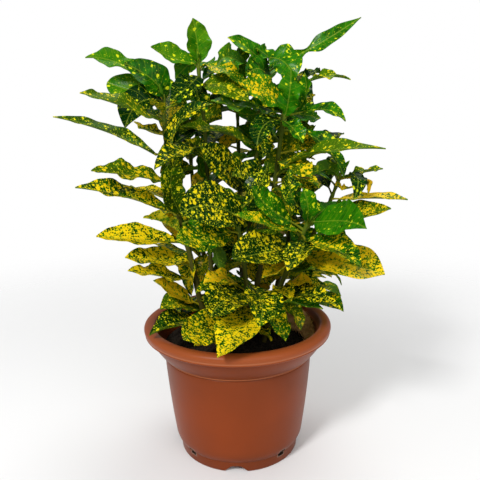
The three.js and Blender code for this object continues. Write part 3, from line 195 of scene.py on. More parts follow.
# The leaves that the view shows. A row has the end of the leaf stalk, the middle of the
# midrib and the tip, the width in millimetres, the share of that width that the view sees,
# the kind, and for some its shape and how keenly it narrows to its tip.
PLAIN = "plain"
WAISTED = "waisted"
ROUND = "round"
ViewLeaf = namedtuple("ViewLeaf", "start middle tip wide show kind shape keen",
                      defaults=(PLAIN, 0.0))
VIEW_LEAVES = (
    ("left", (
        ((161, 92, 2), (123, 63, -4), (85, 57, -8), 36, 0.6, "lime"),
        ((165, 97, 4), (153, 78, -8), (124, 63, -16), 44, 0.85, "grassy"),
        ((158, 99, 0), (132, 90, -26), (107, 82, -42), 46, 0.9, "lime", ROUND),
        ((162, 101, -2), (138, 101, -12), (125, 128, -16), 44, 0.85, "deep"),
        ((163, 121, -6), (123, 103, -50), (80, 92, -66), 34, 0.34, "olive"),
        ((163, 112, -4), (156, 103, -16), (149, 98, -22), 18, -0.6, "golden"),
        ((163, 134, 6), (148, 128, 26), (134, 121, 50), 30, 0.3, "golden"),
        ((157, 155, -8), (110, 130, -14), (53, 116, -12), 34, 0.36, "speckled"),
        ((170, 160, -12), (176, 123, -32), (213, 103, -44), 32, 0.5, "spotted"),
        ((165, 181, -10), (130, 172, -32), (91, 170, -48), 44, 0.45, "shaded"),
        ((181, 214, -16), (172, 186, -32), (178, 156, -32), 40, 0.75, "speckled"),
        ((171, 211, -12), (121, 192, -30), (75, 187, -42), 44, 0.45, "mottled"),
        ((176, 203, 0), (150, 190, 30), (127, 188, 58), 36, 0.25, "golden"),
        ((181, 232, -12), (163, 219, -20), (143, 217, -28), 30, -0.4, "golden"),
        ((178, 241, -12), (136, 236, -34), (96, 236, -48), 46, 0.6, "golden"),
        ((188, 260, -8), (155, 257, -28), (125, 257, -42), 42, 0.58, "golden"),
        ((187, 279, -6), (158, 273, -34), (128, 270, -56), 36, 0.45, "golden"),
        ((194, 302, -4), (173, 290, -36), (154, 280, -60), 34, 0.6, "mustard"),
        ((200, 311, -2), (181, 301, -44), (160, 309, -76), 44, 0.6, "shaded"),
        ((203, 322, 0), (180, 319, -44), (149, 335, -74), 44, 0.55, "spotted"),
        ((190, 250, -2), (188, 270, -18), (191, 296, -26), 30, 0.75, "mottled"),
    )),
    ("top", (
        ((200, 62, 6), (198, 42, 0), (193, 18, -6), 35, 0.95, "young"),
        ((195, 63, 4), (173, 55, -6), (151, 46, -16), 36, 0.62, "lime"),
        ((197, 60, 4), (187, 65, -10), (175, 79, -20), 28, 0.9, "young"),
        ((198, 76, 6), (188, 85, -18), (170, 101, -32), 36, 0.85, "deep"),
        ((200, 82, 6), (198, 94, -20), (207, 112, -36), 32, 0.85, "flecked"),
        ((201, 66, 8), (222, 67, -8), (246, 88, -22), 34, 0.5, "striped"),
        ((203, 84, 8), (225, 84, -18), (249, 101, -30), 44, 0.75, "olive"),
        ((200, 146, 4), (177, 151, -46), (154, 169, -68), 36, 0.6, "spotted"),
        ((208, 160, 14), (200, 150, 2), (186, 140, -6), 34, 0.6, "olive"),
        ((208, 178, 16), (202, 168, 4), (200, 152, -4), 22, 0.7, "lime"),
        ((211, 240, 20), (218, 254, 6), (222, 276, -2), 28, -0.65, "deep"),
    )),
    ("crown", (
        ((244, 82, 22), (242, 60, 16), (243, 37, 10), 28, 0.6, "young"),
        ((266, 68, 20), (252, 50, 6), (228, 37, -6), 30, 0.6, "fresh"),
        ((246, 66, 18), (230, 55, -8), (217, 66, -28), 30, 0.8, "lime"),
        ((274, 66, 22), (268, 55, 16), (256, 48, 8), 24, 0.6, "fresh"),
        ((276, 66, 22), (316, 45, 6), (361, 17, -10), 26, 0.9, "fresh", WAISTED),
        ((268, 58, 20), (284, 60, 6), (294, 80, -4), 44, 0.85, "fresh"),
        ((272, 82, 20), (261, 68, 4), (246, 76, -6), 38, 0.75, "grassy"),
        ((262, 107, 22), (236, 104, -2), (211, 100, -18), 34, 0.4, "young"),
        ((256, 146, 30), (222, 130, -4), (180, 126, -26), 30, 0.35, "olive"),
        ((250, 190, 34), (226, 166, 4), (199, 144, -14), 46, 0.85, "spotted"),
        ((247, 232, 38), (262, 226, 20), (280, 228, 10), 38, 0.75, "striped"),
        ((246, 250, 38), (232, 238, 16), (214, 236, 4), 36, 0.7, "mottled"),
    )),
    ("upper_right", (
        ((284, 104, 4), (264, 90, -14), (243, 82, -26), 40, 0.8, "striped"),
        ((285, 116, 0), (289, 94, -10), (291, 68, -14), 30, 0.95, "plain"),
        ((297, 110, 2), (304, 93, 0), (304, 73, 2), 28, 0.65, "fresh"),
        ((298, 86, 12), (325, 75, 8), (351, 79, 2), 20, 0.25, "olive"),
        ((300, 84, 18), (312, 72, 22), (323, 73, 28), 20, 0.35, "deep"),
        ((300, 104, 12), (307, 99, 12), (315, 94, 12), 14, 0.35, "golden"),
        ((300, 113, -2), (326, 108, -10), (346, 121, -16), 26, 0.5, "pale"),
        ((287, 115, -2), (303, 113, -20), (321, 118, -34), 34, 0.75, "fresh"),
        ((284, 121, 0), (294, 127, -24), (303, 143, -34), 28, 0.75, "pale"),
        ((281, 119, 2), (264, 124, -26), (257, 146, -40), 34, 0.8, "deep"),
        ((301, 130, 6), (330, 148, 2), (344, 177, -4), 32, 0.6, "grassy"),
        ((279, 172, 8), (318, 150, -14), (386, 148, -24), 38, 0.32, "olive"),
        ((292, 152, 12), (308, 141, 10), (326, 138, 6), 32, 0.6, "aged"),
        ((280, 160, 6), (296, 164, -24), (312, 178, -40), 38, 0.7, "shaded"),
        ((272, 182, 12), (252, 172, -18), (232, 176, -36), 40, 0.75, "spotted"),
        ((283, 112, 6), (268, 106, -2), (250, 101, -10), 34, 0.6, "grassy"),
        ((277, 187, 8), (284, 198, -24), (292, 216, -40), 40, 0.8, "shaded"),
        ((273, 197, 12), (262, 204, -20), (250, 220, -38), 42, 0.8, "deep"),
        ((264, 252, 14), (276, 262, -8), (288, 278, -20), 36, -0.6, "mustard"),
    )),
    ("right_outer", (
        ((338, 176, 20), (325, 167, 10), (309, 178, 4), 26, -0.6, "pale"),
        ((344, 176, 20), (362, 171, 14), (383, 168, 8), 22, 0.3, "olive"),
        ((345, 177, 18), (358, 177, 4), (354, 200, -6), 24, 0.75, "deep"),
        ((347, 178, 26), (366, 180, 32), (368, 197, 38), 14, 0.45, "mustard"),
        ((337, 180, 22), (341, 187, 12), (354, 186, 6), 10, 0.6, "mustard"),
        ((338, 199, 22), (372, 196, 6), (408, 199, -10), 34, 0.28, "ripe"),
        ((331, 208, 22), (360, 211, -10), (391, 208, -30), 44, 0.55, "shaded"),
        ((318, 226, 32), (338, 222, 50), (366, 226, 66), 40, 0.4, "mustard"),
    )),
    ("right_front", (
        ((314, 222, -54), (341, 219, -104), (366, 228, -150), 52, 0.85, "plain"),
        ((306, 212, -52), (293, 195, -66), (290, 168, -60), 34, 0.75, "flecked"),
        ((307, 221, -56), (309, 206, -66), (303, 188, -68), 28, 0.8, "fresh"),
        ((292, 222, -50), (270, 206, -70), (252, 186, -80), 38, 0.75, "pale"),
        ((298, 230, -52), (268, 222, -80), (235, 214, -98), 34, 0.5, "striped"),
        ((303, 254, -44), (346, 261, -84), (385, 274, -108), 62, 0.7, "ripe"),
        ((303, 240, -50), (334, 245, -104), (361, 266, -136), 44, 0.62, "dappled"),
        ((296, 257, -34), (313, 258, -36), (333, 271, -38), 40, -0.5, "mottled"),
        ((290, 272, -30), (324, 267, -42), (342, 285, -50), 34, 0.4, "olive", PLAIN, 1.0),
        ((277, 293, -28), (313, 294, -84), (342, 310, -118), 54, 0.75, "splashed", PLAIN, 1.2),
        ((292, 246, -46), (263, 250, -96), (233, 258, -132), 54, 0.82, "splashed", ROUND),
    )),
    ("front", (
        ((246, 222, -58), (215, 205, -96), (181, 213, -124), 58, 0.9, "splashed", ROUND),
        ((230, 231, -58), (203, 237, -104), (178, 241, -138), 44, 0.8, "dappled", ROUND),
        ((244, 206, -56), (257, 186, -74), (268, 162, -84), 36, 0.6, "dusky"),
        ((240, 288, -38), (222, 276, -62), (203, 283, -74), 26, 0.55, "mustard"),
        ((246, 292, -40), (227, 297, -92), (211, 316, -130), 52, 0.85, "splashed", ROUND),
        ((252, 286, -40), (263, 299, -96), (259, 327, -134), 52, 0.9, "spotted"),
        ((243, 306, -42), (239, 326, -104), (217, 357, -144), 58, 0.9, "golden"),
        ((238, 320, -32), (208, 328, -86), (184, 339, -120), 52, 0.85, "mottled", ROUND),
        ((256, 304, -34), (274, 315, -66), (286, 341, -92), 36, 0.7, "dappled"),
        ((254, 326, -32), (264, 331, -52), (272, 341, -64), 18, 0.45, "golden"),
    )),
    ("right_front", (
        ((280, 302, -22), (293, 308, -36), (301, 330, -44), 34, 0.65, "shaded"),
        ((276, 286, -34), (283, 290, -52), (292, 300, -62), 30, 0.6, "golden"),
    )),
    ("front", (
        ((246, 254, -48), (262, 240, -66), (284, 236, -78), 38, 0.7, "speckled"),
    )),
    ("back", (
        ((238, 126, 88), (253, 137, 66), (271, 152, 48), 46, 0.8, "lime"),
        ((238, 133, 90), (230, 139, 80), (218, 153, 74), 30, 0.8, "mustard"),
    )),
    ("back_right", (
        ((301, 164, 76), (284, 160, 58), (264, 173, 42), 46, 0.85, "olive"),
        ((305, 128, 78), (294, 137, 66), (283, 152, 56), 40, 0.8, "olive"),
        ((304, 140, 78), (314, 144, 70), (326, 153, 64), 34, 0.8, "aged"),
        ((300, 178, 76), (306, 185, 70), (314, 194, 66), 28, 0.8, "mottled"),
        ((294, 224, 72), (302, 236, 58), (311, 252, 48), 46, 0.8, "pale"),
    )),
    ("back_left", (
        ((206, 254, 62), (200, 268, 50), (197, 288, 44), 34, 0.8, "aged"),
    )),
    ("back", (
        ((241, 240, 84), (232, 249, 72), (224, 263, 64), 34, 0.8, "flecked"),
        ((242, 258, 82), (256, 269, 64), (271, 285, 50), 46, 0.8, "golden"),
    )),
    ("back_right", (
        ((284, 258, 70), (268, 276, 56), (255, 293, 46), 38, 0.8, "mustard"),
    )),
    ("back_left", (
        ((192, 172, 72), (177, 167, 58), (160, 173, 50), 40, 0.8, "shaded"),
        ((190, 122, 74), (205, 113, 60), (222, 119, 50), 44, 0.8, "olive"),
        ((193, 200, 70), (197, 184, 62), (201, 170, 58), 22, 0.8, "mustard"),
        ((203, 247, 64), (188, 241, 48), (170, 236, 40), 36, 0.75, "mottled"),
    )),
    ("back", (
        ((237, 95, 92), (250, 88, 80), (264, 93, 70), 34, 0.7, "golden"),
    )),
)

# The view's leaves that are set last, in the room that the others leave
LATE_LEAVES = (
    ("right_front", (
        ((302, 248, -52), (285, 262, -86), (262, 277, -108), 38, 0.6, "mustard"),
        ((305, 238, -58), (300, 250, -92), (287, 270, -118), 42, 0.8, "splashed"),
        ((284, 286, -28), (297, 280, -40), (313, 283, -50), 24, 0.5, "mustard"),
    )),
    ("front", (
        ((240, 330, -30), (214, 338, -66), (194, 345, -84), 34, 0.5, "mustard"),
    )),
    ("crown", (
        ((256, 128, 26), (262, 140, 14), (263, 158, 8), 36, 0.8, "spotted"),
        ((258, 113, 26), (248, 114, 16), (237, 111, 10), 26, 0.8, "lime"),
    )),
)

# The hidden leaves: stem, how many, the stretch of the stem that they cover, the way they
# face from above, how far round they spread, and their length
BACK_LEAVES = (
    ("back_left", 11, 0.2, 0.99, 115, 170, 118),
    ("back", 11, 0.2, 0.99, 90, 200, 118),
    ("back_right", 12, 0.2, 0.99, 62, 170, 118),
    ("top", 4, 0.25, 0.8, 150, 200, 112),
    ("crown", 7, 0.2, 0.85, 80, 320, 112),
    ("right_outer", 5, 0.2, 0.9, 40, 170, 118),
    ("upper_right", 4, 0.2, 0.7, 20, 300, 104),
    ("left", 5, 0.25, 0.95, 120, 110, 118),
)
LEAF_SLENDERNESS = 0.34
GOLDEN_SHARE = 0.61803

# How the hidden and the inner leaves change up a stem: the share of their length that is
# lost, and the degrees that they rise at its foot with what its top adds
HIDDEN_SHORTENING = 0.22
HIDDEN_RISE = (-6, 46)
INNER_SHORTENING = 0.25
INNER_RISE = (-22, 44)

# The kinds of the hidden leaves and of the small inner ones: those above each share of the
# stem's height, from young green at its top to gold at its foot
HIDDEN_KINDS = (
    (0.86, ("young", "fresh")),
    (0.62, ("deep", "flecked", "olive", "mottled")),
    (0.32, ("mottled", "dappled", "shaded", "golden")),
    (-1.0, ("mustard", "golden", "mottled", "dappled")),
)
INNER_KINDS = (
    (0.7, ("fresh", "deep", "flecked", "pale")),
    (0.35, ("fresh", "flecked", "pale", "dappled")),
    (-1.0, ("pale", "dappled", "flecked", "mottled")),
)

# Small inner leaves all along each stem. In the view they only fill what lies behind the
# leaves above: they keep to its dense part and leave its open sights clear.
INNER_LEAVES = 15
INNER_STRETCH = (0.1, 0.94)
INNER_LENGTH = 84.0
INNER_MARGIN = 6.0
SOIL_MARGIN = 4.0
SHEET_ROWS = 8
SHEET_COLUMNS = 3
DENSE_VIEW = ((140, 70), (172, 58), (215, 56), (262, 58), (300, 72), (318, 88), (322, 112),
              (312, 140), (340, 160), (343, 178), (352, 204), (352, 232), (345, 262),
              (320, 282), (306, 306), (304, 334), (172, 334), (176, 300), (184, 268),
              (176, 238), (166, 214), (160, 182), (160, 140), (136, 108))
OPEN_SIGHTS = ((222, 119, 6), (229, 122, 6), (225, 138, 3), (240, 162, 5), (240, 172, 4),
               (188, 195, 6), (219, 182, 4), (203, 270, 4), (219, 265, 4), (321, 192, 6),
               (340, 194, 4), (312, 160, 3), (206, 160, 3), (175, 95, 3), (300, 143, 2))

# The chance numbers
DRAW_SEED = 20240611
DRAW_FACTOR = 1664525
DRAW_STEP = 1013904223
DRAW_RANGE = 2 ** 32

# How the leaves vary by chance: each pair is a least value and the range over it, and turn,
# rise and roll are the degrees between their two ends
CUPPING = (10, 16)
WAVE_HEIGHT = (1, 1.8)
WAVE_COUNT = (1.4, 1.1)
BUD_LENGTH = (12, 9)
BUD_LEAN = (0.25, 0.35)
Habit = namedtuple("Habit", "length turn rise stalk arch width roll")
HIDDEN_HABIT = Habit((0.82, 0.3), 10, 16, (12, 10), (0.07, 0.09), (0.85, 0.35), 34)
INNER_HABIT = Habit((0.72, 0.5), 36, 20, (8, 7), (0.06, 0.08), (0.95, 0.3), 50)

# How far in depth, or how far round and up, a leaf may have been bent out of the others' way
SIGHT_STEPS = (0, -9, 9, -18, 18, -27, 27, -38, 38, -50, 50, -64, 64)
TURN_STEPS = ((0, 0), (11, 0), (-11, 0), (0, 11), (0, -11), (22, 0), (-22, 0), (16, 14),
              (-16, 14), (16, -14), (-16, -14), (34, 0), (-34, 0), (30, 20), (-30, 20),
              (46, 6), (-46, 6), (0, 26), (20, 30), (-20, 30), (60, 10), (-60, 10),
              (75, 20), (-75, 20), (0, 38))
INNER_STEPS = tuple((turn, rise) for rise in (0, 14, -14) for turn in range(0, 360, 30))

# The solids' blades: thickness, least half width, and where their cross-sections stand
SOLID_BLADE = 1.1
SOLID_TIP_HALF = 0.8
LONG_BLADE = 88.0
LONG_STATIONS = (0.2, 0.48, 0.78, 1.0)
SHORT_STATIONS = (0.3, 0.68, 1.0)
WAISTED_STATIONS = (0.18, 0.38, 0.62, 0.84, 1.0)
SAME_CORNER = 0.1

# Outline and relief of a blade
OVAL_LEAN = 0.92
OVAL_FULLNESS = 0.8
ROUND_LEAN = 1.04
ROUND_FULLNESS = 0.62
SHOULDER = 0.62
SHOULDER_SWELL = 0.16
WAIST = 0.38
WAIST_DEPTH = 0.86
WAIST_LENGTH = 0.11
BELLY = 0.46
TIP_POWER = 1.35
SQUAT_BLADE = (0.42, 0.62)
TURNED_BLADE = (0.15, 0.35)
BLADE_ROWS = 34
BLADE_COLUMNS = 12
BLADE_EDGE = 0.6
BLADE_MIDRIB = 0.8
FOOT_HALF = 1.2
TIP_HALF = 0.35
RIPPLE_HEIGHT = 1.7
FRILL_HEIGHT = 0.45
FRILLS = 2.7
QUILT_HEIGHT = 0.55
QUILT_HALF = 9.0
GROOVE_SINK = 0.35
GROOVE_WIDTH = 1.1
MIDRIB_WIDTH = 1.3
VEIN_SPACING = 8.5
VEIN_SWEEP = 0.62
SEED_SPREAD = 60.0
LEAF_CREASE = math.radians(50)

# Stems, leaf stalks and buds
STALK_STEPS = 7
STALK_RADIUS = 1.15
STALK_FLARE = 1.0
STALK_END_RADIUS = 0.5
STALK_DROP = 6.0
STEM_SIDES = 12
STEM_SLIMNESS = 0.76
STEM_STEPS = 44
NODE_SWELL = 0.6
NODE_LENGTH = 4.0
BUD_LEAVES = 3

# Fineness of the soil and the coir
SOIL_RINGS = 26
SOIL_SIDES = 72
COIR_STEPS = 70
COIR_COLUMNS = 14

# Marks on a leaf: cells to a millimetre, and how far each leaf's seed shifts them
BLOTCH_CELLS = (0.180, 3.1)
DUST_CELLS = (0.400, 7.7)
GAP_CELLS = (0.260, 5.3)

# Noise on a leaf, to a millimetre: ragged edges, patches, clouds and fine relief
RAGGED_NOISE = 0.2
PATCH_NOISE = 0.035
CLOUD_NOISE = 0.11
RELIEF_NOISE = 0.9

# How far each part of a leaf takes on its own colour, and where its veins and midrib fade
OLIVE_COVER = 0.7
LIME_COVER = 0.62
VEIN_COVER = 0.16
RIB_COVER = 0.3
# The underside is paler partly by its own colour and partly by painted light that stands in for
# light through the leaf
UNDERSIDE_GLOW_COVER = 0.5
VEIN_EDGES = (0.085, 0.02)
RIB_EDGES = (1.25, 0.35)

# How dark each part of the pot is: painted shade in the neck, toward the foot and under the rim,
# random clouds and specks, and how far the rim and the edges take on their painted highlights
NECK_SHADE = 0.12
FOOT_SHADE = 0.4
UNDER_RIM_SHADE = 0.38
CLOUD_SHADE = 0.35
SPECK_SHADE = 0.2
RIM_HIGHLIGHT_COVER = 0.5
EDGE_HIGHLIGHT_COVER = 0.55

# Stage, in metres: lamps as name, place, size and power
FLOOR_SIDES = 96
FLOOR_RADIUS = 2.0
FLOOR_DROP = -0.0003
FLOOR_FADE = (0.35, 1.3)
PLANT_MIDDLE = 0.28
LAMPS = (
    ("key_lamp", (-0.95, -1.65, 1.80), 0.45, 42.0),
    ("fill_lamp", (1.0, -1.7, 0.9), 1.4, 14.0),
    ("back_lamp", (0.5, 1.0, 2.3), 1.2, 20.0),
)


# Small helpers in the plant's own space

def on_view(place):
    """The point of the plant that the view shows at a place, at its depth."""
    across, down, depth = place
    right = across - VIEW_CENTRE
    below = down - VIEW_CENTRE
    sideways = (right * math.cos(VIEW_ROLL) + below * math.sin(VIEW_ROLL)) / FOCAL_PIXELS
    upward = (right * math.sin(VIEW_ROLL) - below * math.cos(VIEW_ROLL)) / FOCAL_PIXELS
    ray = np.array((sideways,
                    math.cos(LOOK_DOWN) + upward * math.sin(LOOK_DOWN),
                    -math.sin(LOOK_DOWN) + upward * math.cos(LOOK_DOWN)))
    return EYE + ray * (depth - EYE[1]) / ray[1]


def unit(vectors):
    """Vectors at a length of one."""
    vectors = np.asarray(vectors, float)
    return vectors / np.linalg.norm(vectors, axis=-1, keepdims=True)


def seeded_draws(seed):
    """Chance numbers from 0 to 1 that are the same on every run."""
    state = seed
    while True:
        state = (state * DRAW_FACTOR + DRAW_STEP) % DRAW_RANGE
        yield state / DRAW_RANGE


def within(draws, least, more):
    """A chance number from its least value on, over a range."""
    return least + more * next(draws)


def ramped(value, low, high):
    """Evenly from 0 at low to 1 at high."""
    return min(max((value - low) / (high - low), 0), 1)


def bent(start, control, end, t):
    """Points at the shares t of a curve that leaves its start toward the control point."""
    return start * (1 - t) ** 2 + control * 2 * t * (1 - t) + end * t ** 2


def turned_about(vector, axis, angle):
    """A vector turned about an axis by an angle."""
    return (vector * math.cos(angle) + np.cross(axis, vector) * math.sin(angle)
            + axis * np.dot(axis, vector) * (1 - math.cos(angle)))


class StemCurve:
    """A smooth curve through a stem's places, from the soil to its top."""

    def __init__(self, places):
        self.places = [on_view(place) for place in places]
        self.places[0][2] = STEM_START

    def at(self, share):
        """The point at a share of the curve, between the two places on either side of it."""
        reach = (len(self.places) - 1) * share
        first = min(int(reach), len(self.places) - 2)
        weight = reach - first
        low, high = self.places[first:first + 2]
        before = self.places[first - 1] if first > 0 else 2 * low - high
        beyond = self.places[first + 2] if first + 2 < len(self.places) else 2 * high - low
        out, into = (high - before) / 2, (beyond - low) / 2
        return (low + out * weight + (3 * (high - low) - 2 * out - into) * weight ** 2
                + (2 * (low - high) + out + into) * weight ** 3)

    def many(self, shares):
        """The points at several shares of the curve."""
        return np.array([self.at(share) for share in shares])


# Meshes from rings and sheets, with what the materials read from their points

class Shape:
    """Points and faces of one piece, gathered part by part."""

    def __init__(self):
        self.points = []
        self.faces = []
        self.places = []
        self.looks = []
        self.sides = []
        self.count = 0

    def add(self, points, faces, places, look, sides):
        """Points in millimetres. `places` is the pattern's own space, `look` the colour."""
        total = len(points)
        self.points.append(points)
        self.faces.extend(counted_from(self.count, faces))
        self.places.append(places)
        self.looks.append(np.broadcast_to(look, (total, 3)))
        self.sides.append(np.broadcast_to(sides, (total,)))
        self.count += total

    def mesh(self, name, material):
        """All the parts as one mesh, with what its material reads from its points."""
        mesh = plain_mesh(name, np.concatenate(self.points), self.faces)
        mesh.materials.append(material)
        set_attribute(mesh, "leaf_place", "vector", np.concatenate(self.places))
        set_attribute(mesh, "leaf_look", "vector", np.concatenate(self.looks))
        set_attribute(mesh, "leaf_side", "value", np.concatenate(self.sides))
        mesh.validate()
        mesh.update()
        return mesh


def plain_mesh(name, points, faces, edges=()):
    """A smooth mesh from points in millimetres."""
    mesh = bpy.data.meshes.new(name)
    mesh.from_pydata((np.asarray(points, float) * MM).tolist(), list(edges), faces)
    mesh.polygons.foreach_set("use_smooth", [True] * len(mesh.polygons))
    mesh.update()
    return mesh


def set_attribute(mesh, name, field, values):
    """Gives each point of a mesh its own vector or value."""
    kind = "FLOAT_VECTOR" if field == "vector" else "FLOAT"
    attribute = mesh.attributes.new(name, kind, "POINT")
    attribute.data.foreach_set(field, np.asarray(values, float).ravel())


def grid_faces(rows, columns, closed=False):
    """Quads over rows of points; closed rings join their last column to the first."""
    faces = []
    for i in range(rows - 1):
        for j in range(columns if closed else columns - 1):
            k = (j + 1) % columns
            faces.append((i * columns + j, i * columns + k,
                          (i + 1) * columns + k, (i + 1) * columns + j))
    return faces


def edge_of_grid(rows, columns):
    """The points round a grid, from its first one along its first row and back."""
    last = (rows - 1) * columns
    return (list(range(columns)) + list(range(2 * columns - 1, last, columns))
            + list(range(last + columns - 1, last, -1)) + list(range(last, 0, -columns)))


def counted_from(first, faces):
    """Faces whose points come after others in the same mesh."""
    return [tuple(first + i for i in face) for face in faces]


# Leaves

def view_leaf(leaf, step):
    """A leaf where the view shows it, with its tip moved back by a step."""
    start = on_view(leaf.start)
    across, down, depth = leaf.middle
    middle = on_view((across, down, depth + step / 2))
    across, down, depth = leaf.tip
    tip = on_view((across, down, depth + step))
    axis = unit(tip - start)
    toward_eye = unit(EYE - middle)
    across = unit(np.cross(axis, toward_eye))
    if across[2] < 0:
        across = -across
    facing = unit(np.cross(across, axis))
    if np.dot(facing, toward_eye) < 0:
        facing = -facing
    face = facing * leaf.show + across * math.sqrt(1 - leaf.show ** 2)
    return {"start": start, "middle": middle, "tip": tip, "face": face, "wide": leaf.wide,
            "shape": leaf.shape, "keen": leaf.keen, "hidden": False}


def back_leaf(leaf, step):
    """A leaf that leaves its stem at a turn and a rise, moved on by a step of both."""
    turn = math.radians(leaf["turn"] + step[0])
    rise = math.radians(leaf["rise"] + step[1])
    outward = np.array((math.cos(turn), math.sin(turn), 0.0))
    way = outward * math.cos(rise) + UP * math.sin(rise)
    start = leaf["root"] + way * leaf["stalk"]
    tip = start + way * leaf["long"]
    middle = (start + tip) / 2 + UP * leaf["arch"]
    axis = unit(tip - start)
    face = unit(UP - axis * np.dot(UP, axis))
    face = turned_about(face, axis, math.radians(leaf["roll"]))
    return {"start": start, "middle": middle, "tip": tip, "face": face,
            "wide": leaf["wide"], "shape": PLAIN, "hidden": True}


def grown(draws, habit, root, reach, turn, rise):
    """A leaf that varies by chance from its stem's rule."""
    def about(value, play):
        return value + play * (next(draws) - 0.5)

    long = reach * within(draws, *habit.length)
    return {"root": root, "long": long, "turn": about(turn, habit.turn),
            "rise": about(rise, habit.rise), "stalk": within(draws, *habit.stalk),
            "arch": long * within(draws, *habit.arch),
            "wide": long * LEAF_SLENDERNESS * within(draws, *habit.width),
            "roll": about(0, habit.roll)}


def midrib(blade, shares):
    """Places, directions, sides and normals along a blade's midrib."""
    start, middle, tip = blade["start"], blade["middle"], blade["tip"]
    control = 2 * middle - start / 2 - tip / 2
    t = np.asarray(shares, float)[:, None]
    place = bent(start, control, tip, t)
    along = unit((control - start) * (1 - t) + (tip - control) * t)
    side = unit(np.cross(along, blade["face"]))
    return place, along, side, np.cross(side, along)


def solid_marks(blade):
    """Corners that the solid of this leaf has along the middle of both its faces."""
    long = np.linalg.norm(blade["tip"] - blade["start"]) > LONG_BLADE
    stations = WAISTED_STATIONS if blade["shape"] == WAISTED else SHORT_STATIONS
    if blade["shape"] == ROUND or (long and blade["shape"] == PLAIN and not blade["hidden"]):
        stations = LONG_STATIONS
    place, _, _, normal = midrib(blade, stations)
    half = np.maximum(width_share(np.array(stations), blade["shape"]) * blade["wide"] / 2,
                      SOLID_TIP_HALF)
    sunk = (half * math.sin(blade["cup"]) / 2)[:, None]
    keel = place - normal * sunk
    return np.concatenate([keel + normal * SOLID_BLADE / 2, keel - normal * SOLID_BLADE / 2])


def settled(tree, steps, make):
    """The leaf as its solid was bent, told by how many of its corners the solid has."""
    best, most = None, 0
    for step in steps:
        blade = make(step)
        marks = solid_marks(blade) * MM
        found = sum(tree.find(Vector(mark))[2] < SAME_CORNER * MM for mark in marks)
        if found > most:
            best, most = blade, found
    return best


def corner_tree(node):
    """The corners of a leafy stem's solid, for telling how its leaves were bent."""
    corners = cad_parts[node].data.vertices
    tree = KDTree(len(corners))
    for corner in corners:
        tree.insert(corner.co, corner.index)
    tree.balance()
    return tree


def kind_at(height, draw, table):
    """The kind of a leaf at a share of its stem's height, picked by a draw."""
    kinds = next(kinds for low, kinds in table if height > low)
    return kinds[int(draw * len(kinds))]


def waviness(draws):
    """How much a blade is cupped and waved."""
    return {"cup": math.radians(within(draws, *CUPPING)),
            "wave": within(draws, *WAVE_HEIGHT), "waves": within(draws, *WAVE_COUNT),
            "phase": next(draws)}


def all_leaves():
    """Every leaf of the plant by stem, in the order in which the solids were made."""
    draws = seeded_draws(DRAW_SEED)
    colours = seeded_draws(DRAW_SEED + 1)
    curves = {name: StemCurve(stem[2]) for name, stem in STEMS.items()}
    trees = {name: corner_tree(f"leafy_stem_{name}") for name in STEMS}
    leaves = {name: [] for name in STEMS}

    def settle_view_leaves(groups):
        """Adds leaves of the view, each bent as its solid is."""
        for name, rows in groups:
            for leaf in (ViewLeaf(*row) for row in rows):
                look = waviness(draws)
                blade = settled(trees[name], SIGHT_STEPS,
                                lambda step: {**view_leaf(leaf, step), **look})
                if blade is None:
                    raise ValueError(f"the leaf of {name} with its tip at {leaf.tip} has no solid")
                leaves[name].append({**blade, "kind": leaf.kind, "seed": next(colours)})

    settle_view_leaves(VIEW_LEAVES)
    for name, count, low, high, facing, spread, reach in BACK_LEAVES:
        for i in range(count):
            height = i / (count - 1)
            around = (i * GOLDEN_SHARE) % 1 - 0.5
            look = waviness(draws)
            leaf = grown(draws, HIDDEN_HABIT, curves[name].at(low + (high - low) * height),
                         reach * (1 - HIDDEN_SHORTENING * height), facing + around * spread,
                         HIDDEN_RISE[0] + HIDDEN_RISE[1] * height ** 1.5)
            kind = kind_at(height, next(colours), HIDDEN_KINDS)
            blade = settled(trees[name], TURN_STEPS,
                            lambda step: {**back_leaf(leaf, step), **look})
            if blade is not None:
                leaves[name].append({**blade, "kind": kind, "seed": next(colours)})
    settle_view_leaves(LATE_LEAVES)
    inner_leaves(curves, leaves)
    return leaves


def view_of(point):
    """Where the view shows a point, in its pixels."""
    ray = point - EYE
    ahead = ray[1] * math.cos(LOOK_DOWN) - ray[2] * math.sin(LOOK_DOWN)
    above = ray[1] * math.sin(LOOK_DOWN) + ray[2] * math.cos(LOOK_DOWN)
    right, below = FOCAL_PIXELS * ray[0] / ahead, -FOCAL_PIXELS * above / ahead
    return (VIEW_CENTRE + right * math.cos(VIEW_ROLL) - below * math.sin(VIEW_ROLL),
            VIEW_CENTRE + right * math.sin(VIEW_ROLL) + below * math.cos(VIEW_ROLL))


def is_dense(across, down):
    """Whether a place of the view is in its dense part and off its open sights."""
    inside = False
    for (x1, y1), (x2, y2) in zip(DENSE_VIEW, DENSE_VIEW[1:] + DENSE_VIEW[:1]):
        if (y1 > down) != (y2 > down) and across < x1 + (down - y1) * (x2 - x1) / (y2 - y1):
            inside = not inside
    return inside and all(math.hypot(across - x, down - y) > r for x, y, r in OPEN_SIGHTS)


def flat_sheet(blade):
    """A coarse sheet in place of a blade, for finding what it crosses or covers."""
    shares = np.linspace(0.04, 1, SHEET_ROWS)
    place, _, side, _ = midrib(blade, shares)
    half = np.maximum(width_share(shares, blade["shape"]) * blade["wide"] / 2, 0.5)
    span = half[:, None] * np.linspace(-1, 1, SHEET_COLUMNS)
    return place[:, None, :] + side[:, None, :] * span[..., None]


def sheet_tree(blades):
    """The blades' coarse sheets, for asking what crosses them."""
    points, faces = [], []
    for blade in blades:
        faces.extend(counted_from(len(points), grid_faces(SHEET_ROWS, SHEET_COLUMNS)))
        points.extend(flat_sheet(blade).reshape(-1, 3).tolist())
    return BVHTree.FromPolygons(points, faces)


def plant_reach():
    """The two corners of the box round the solids of all the leafy stems."""
    corners = np.array([corner.co for name in STEMS
                        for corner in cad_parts[f"leafy_stem_{name}"].data.vertices]) / MM
    return corners.min(axis=0), corners.max(axis=0)


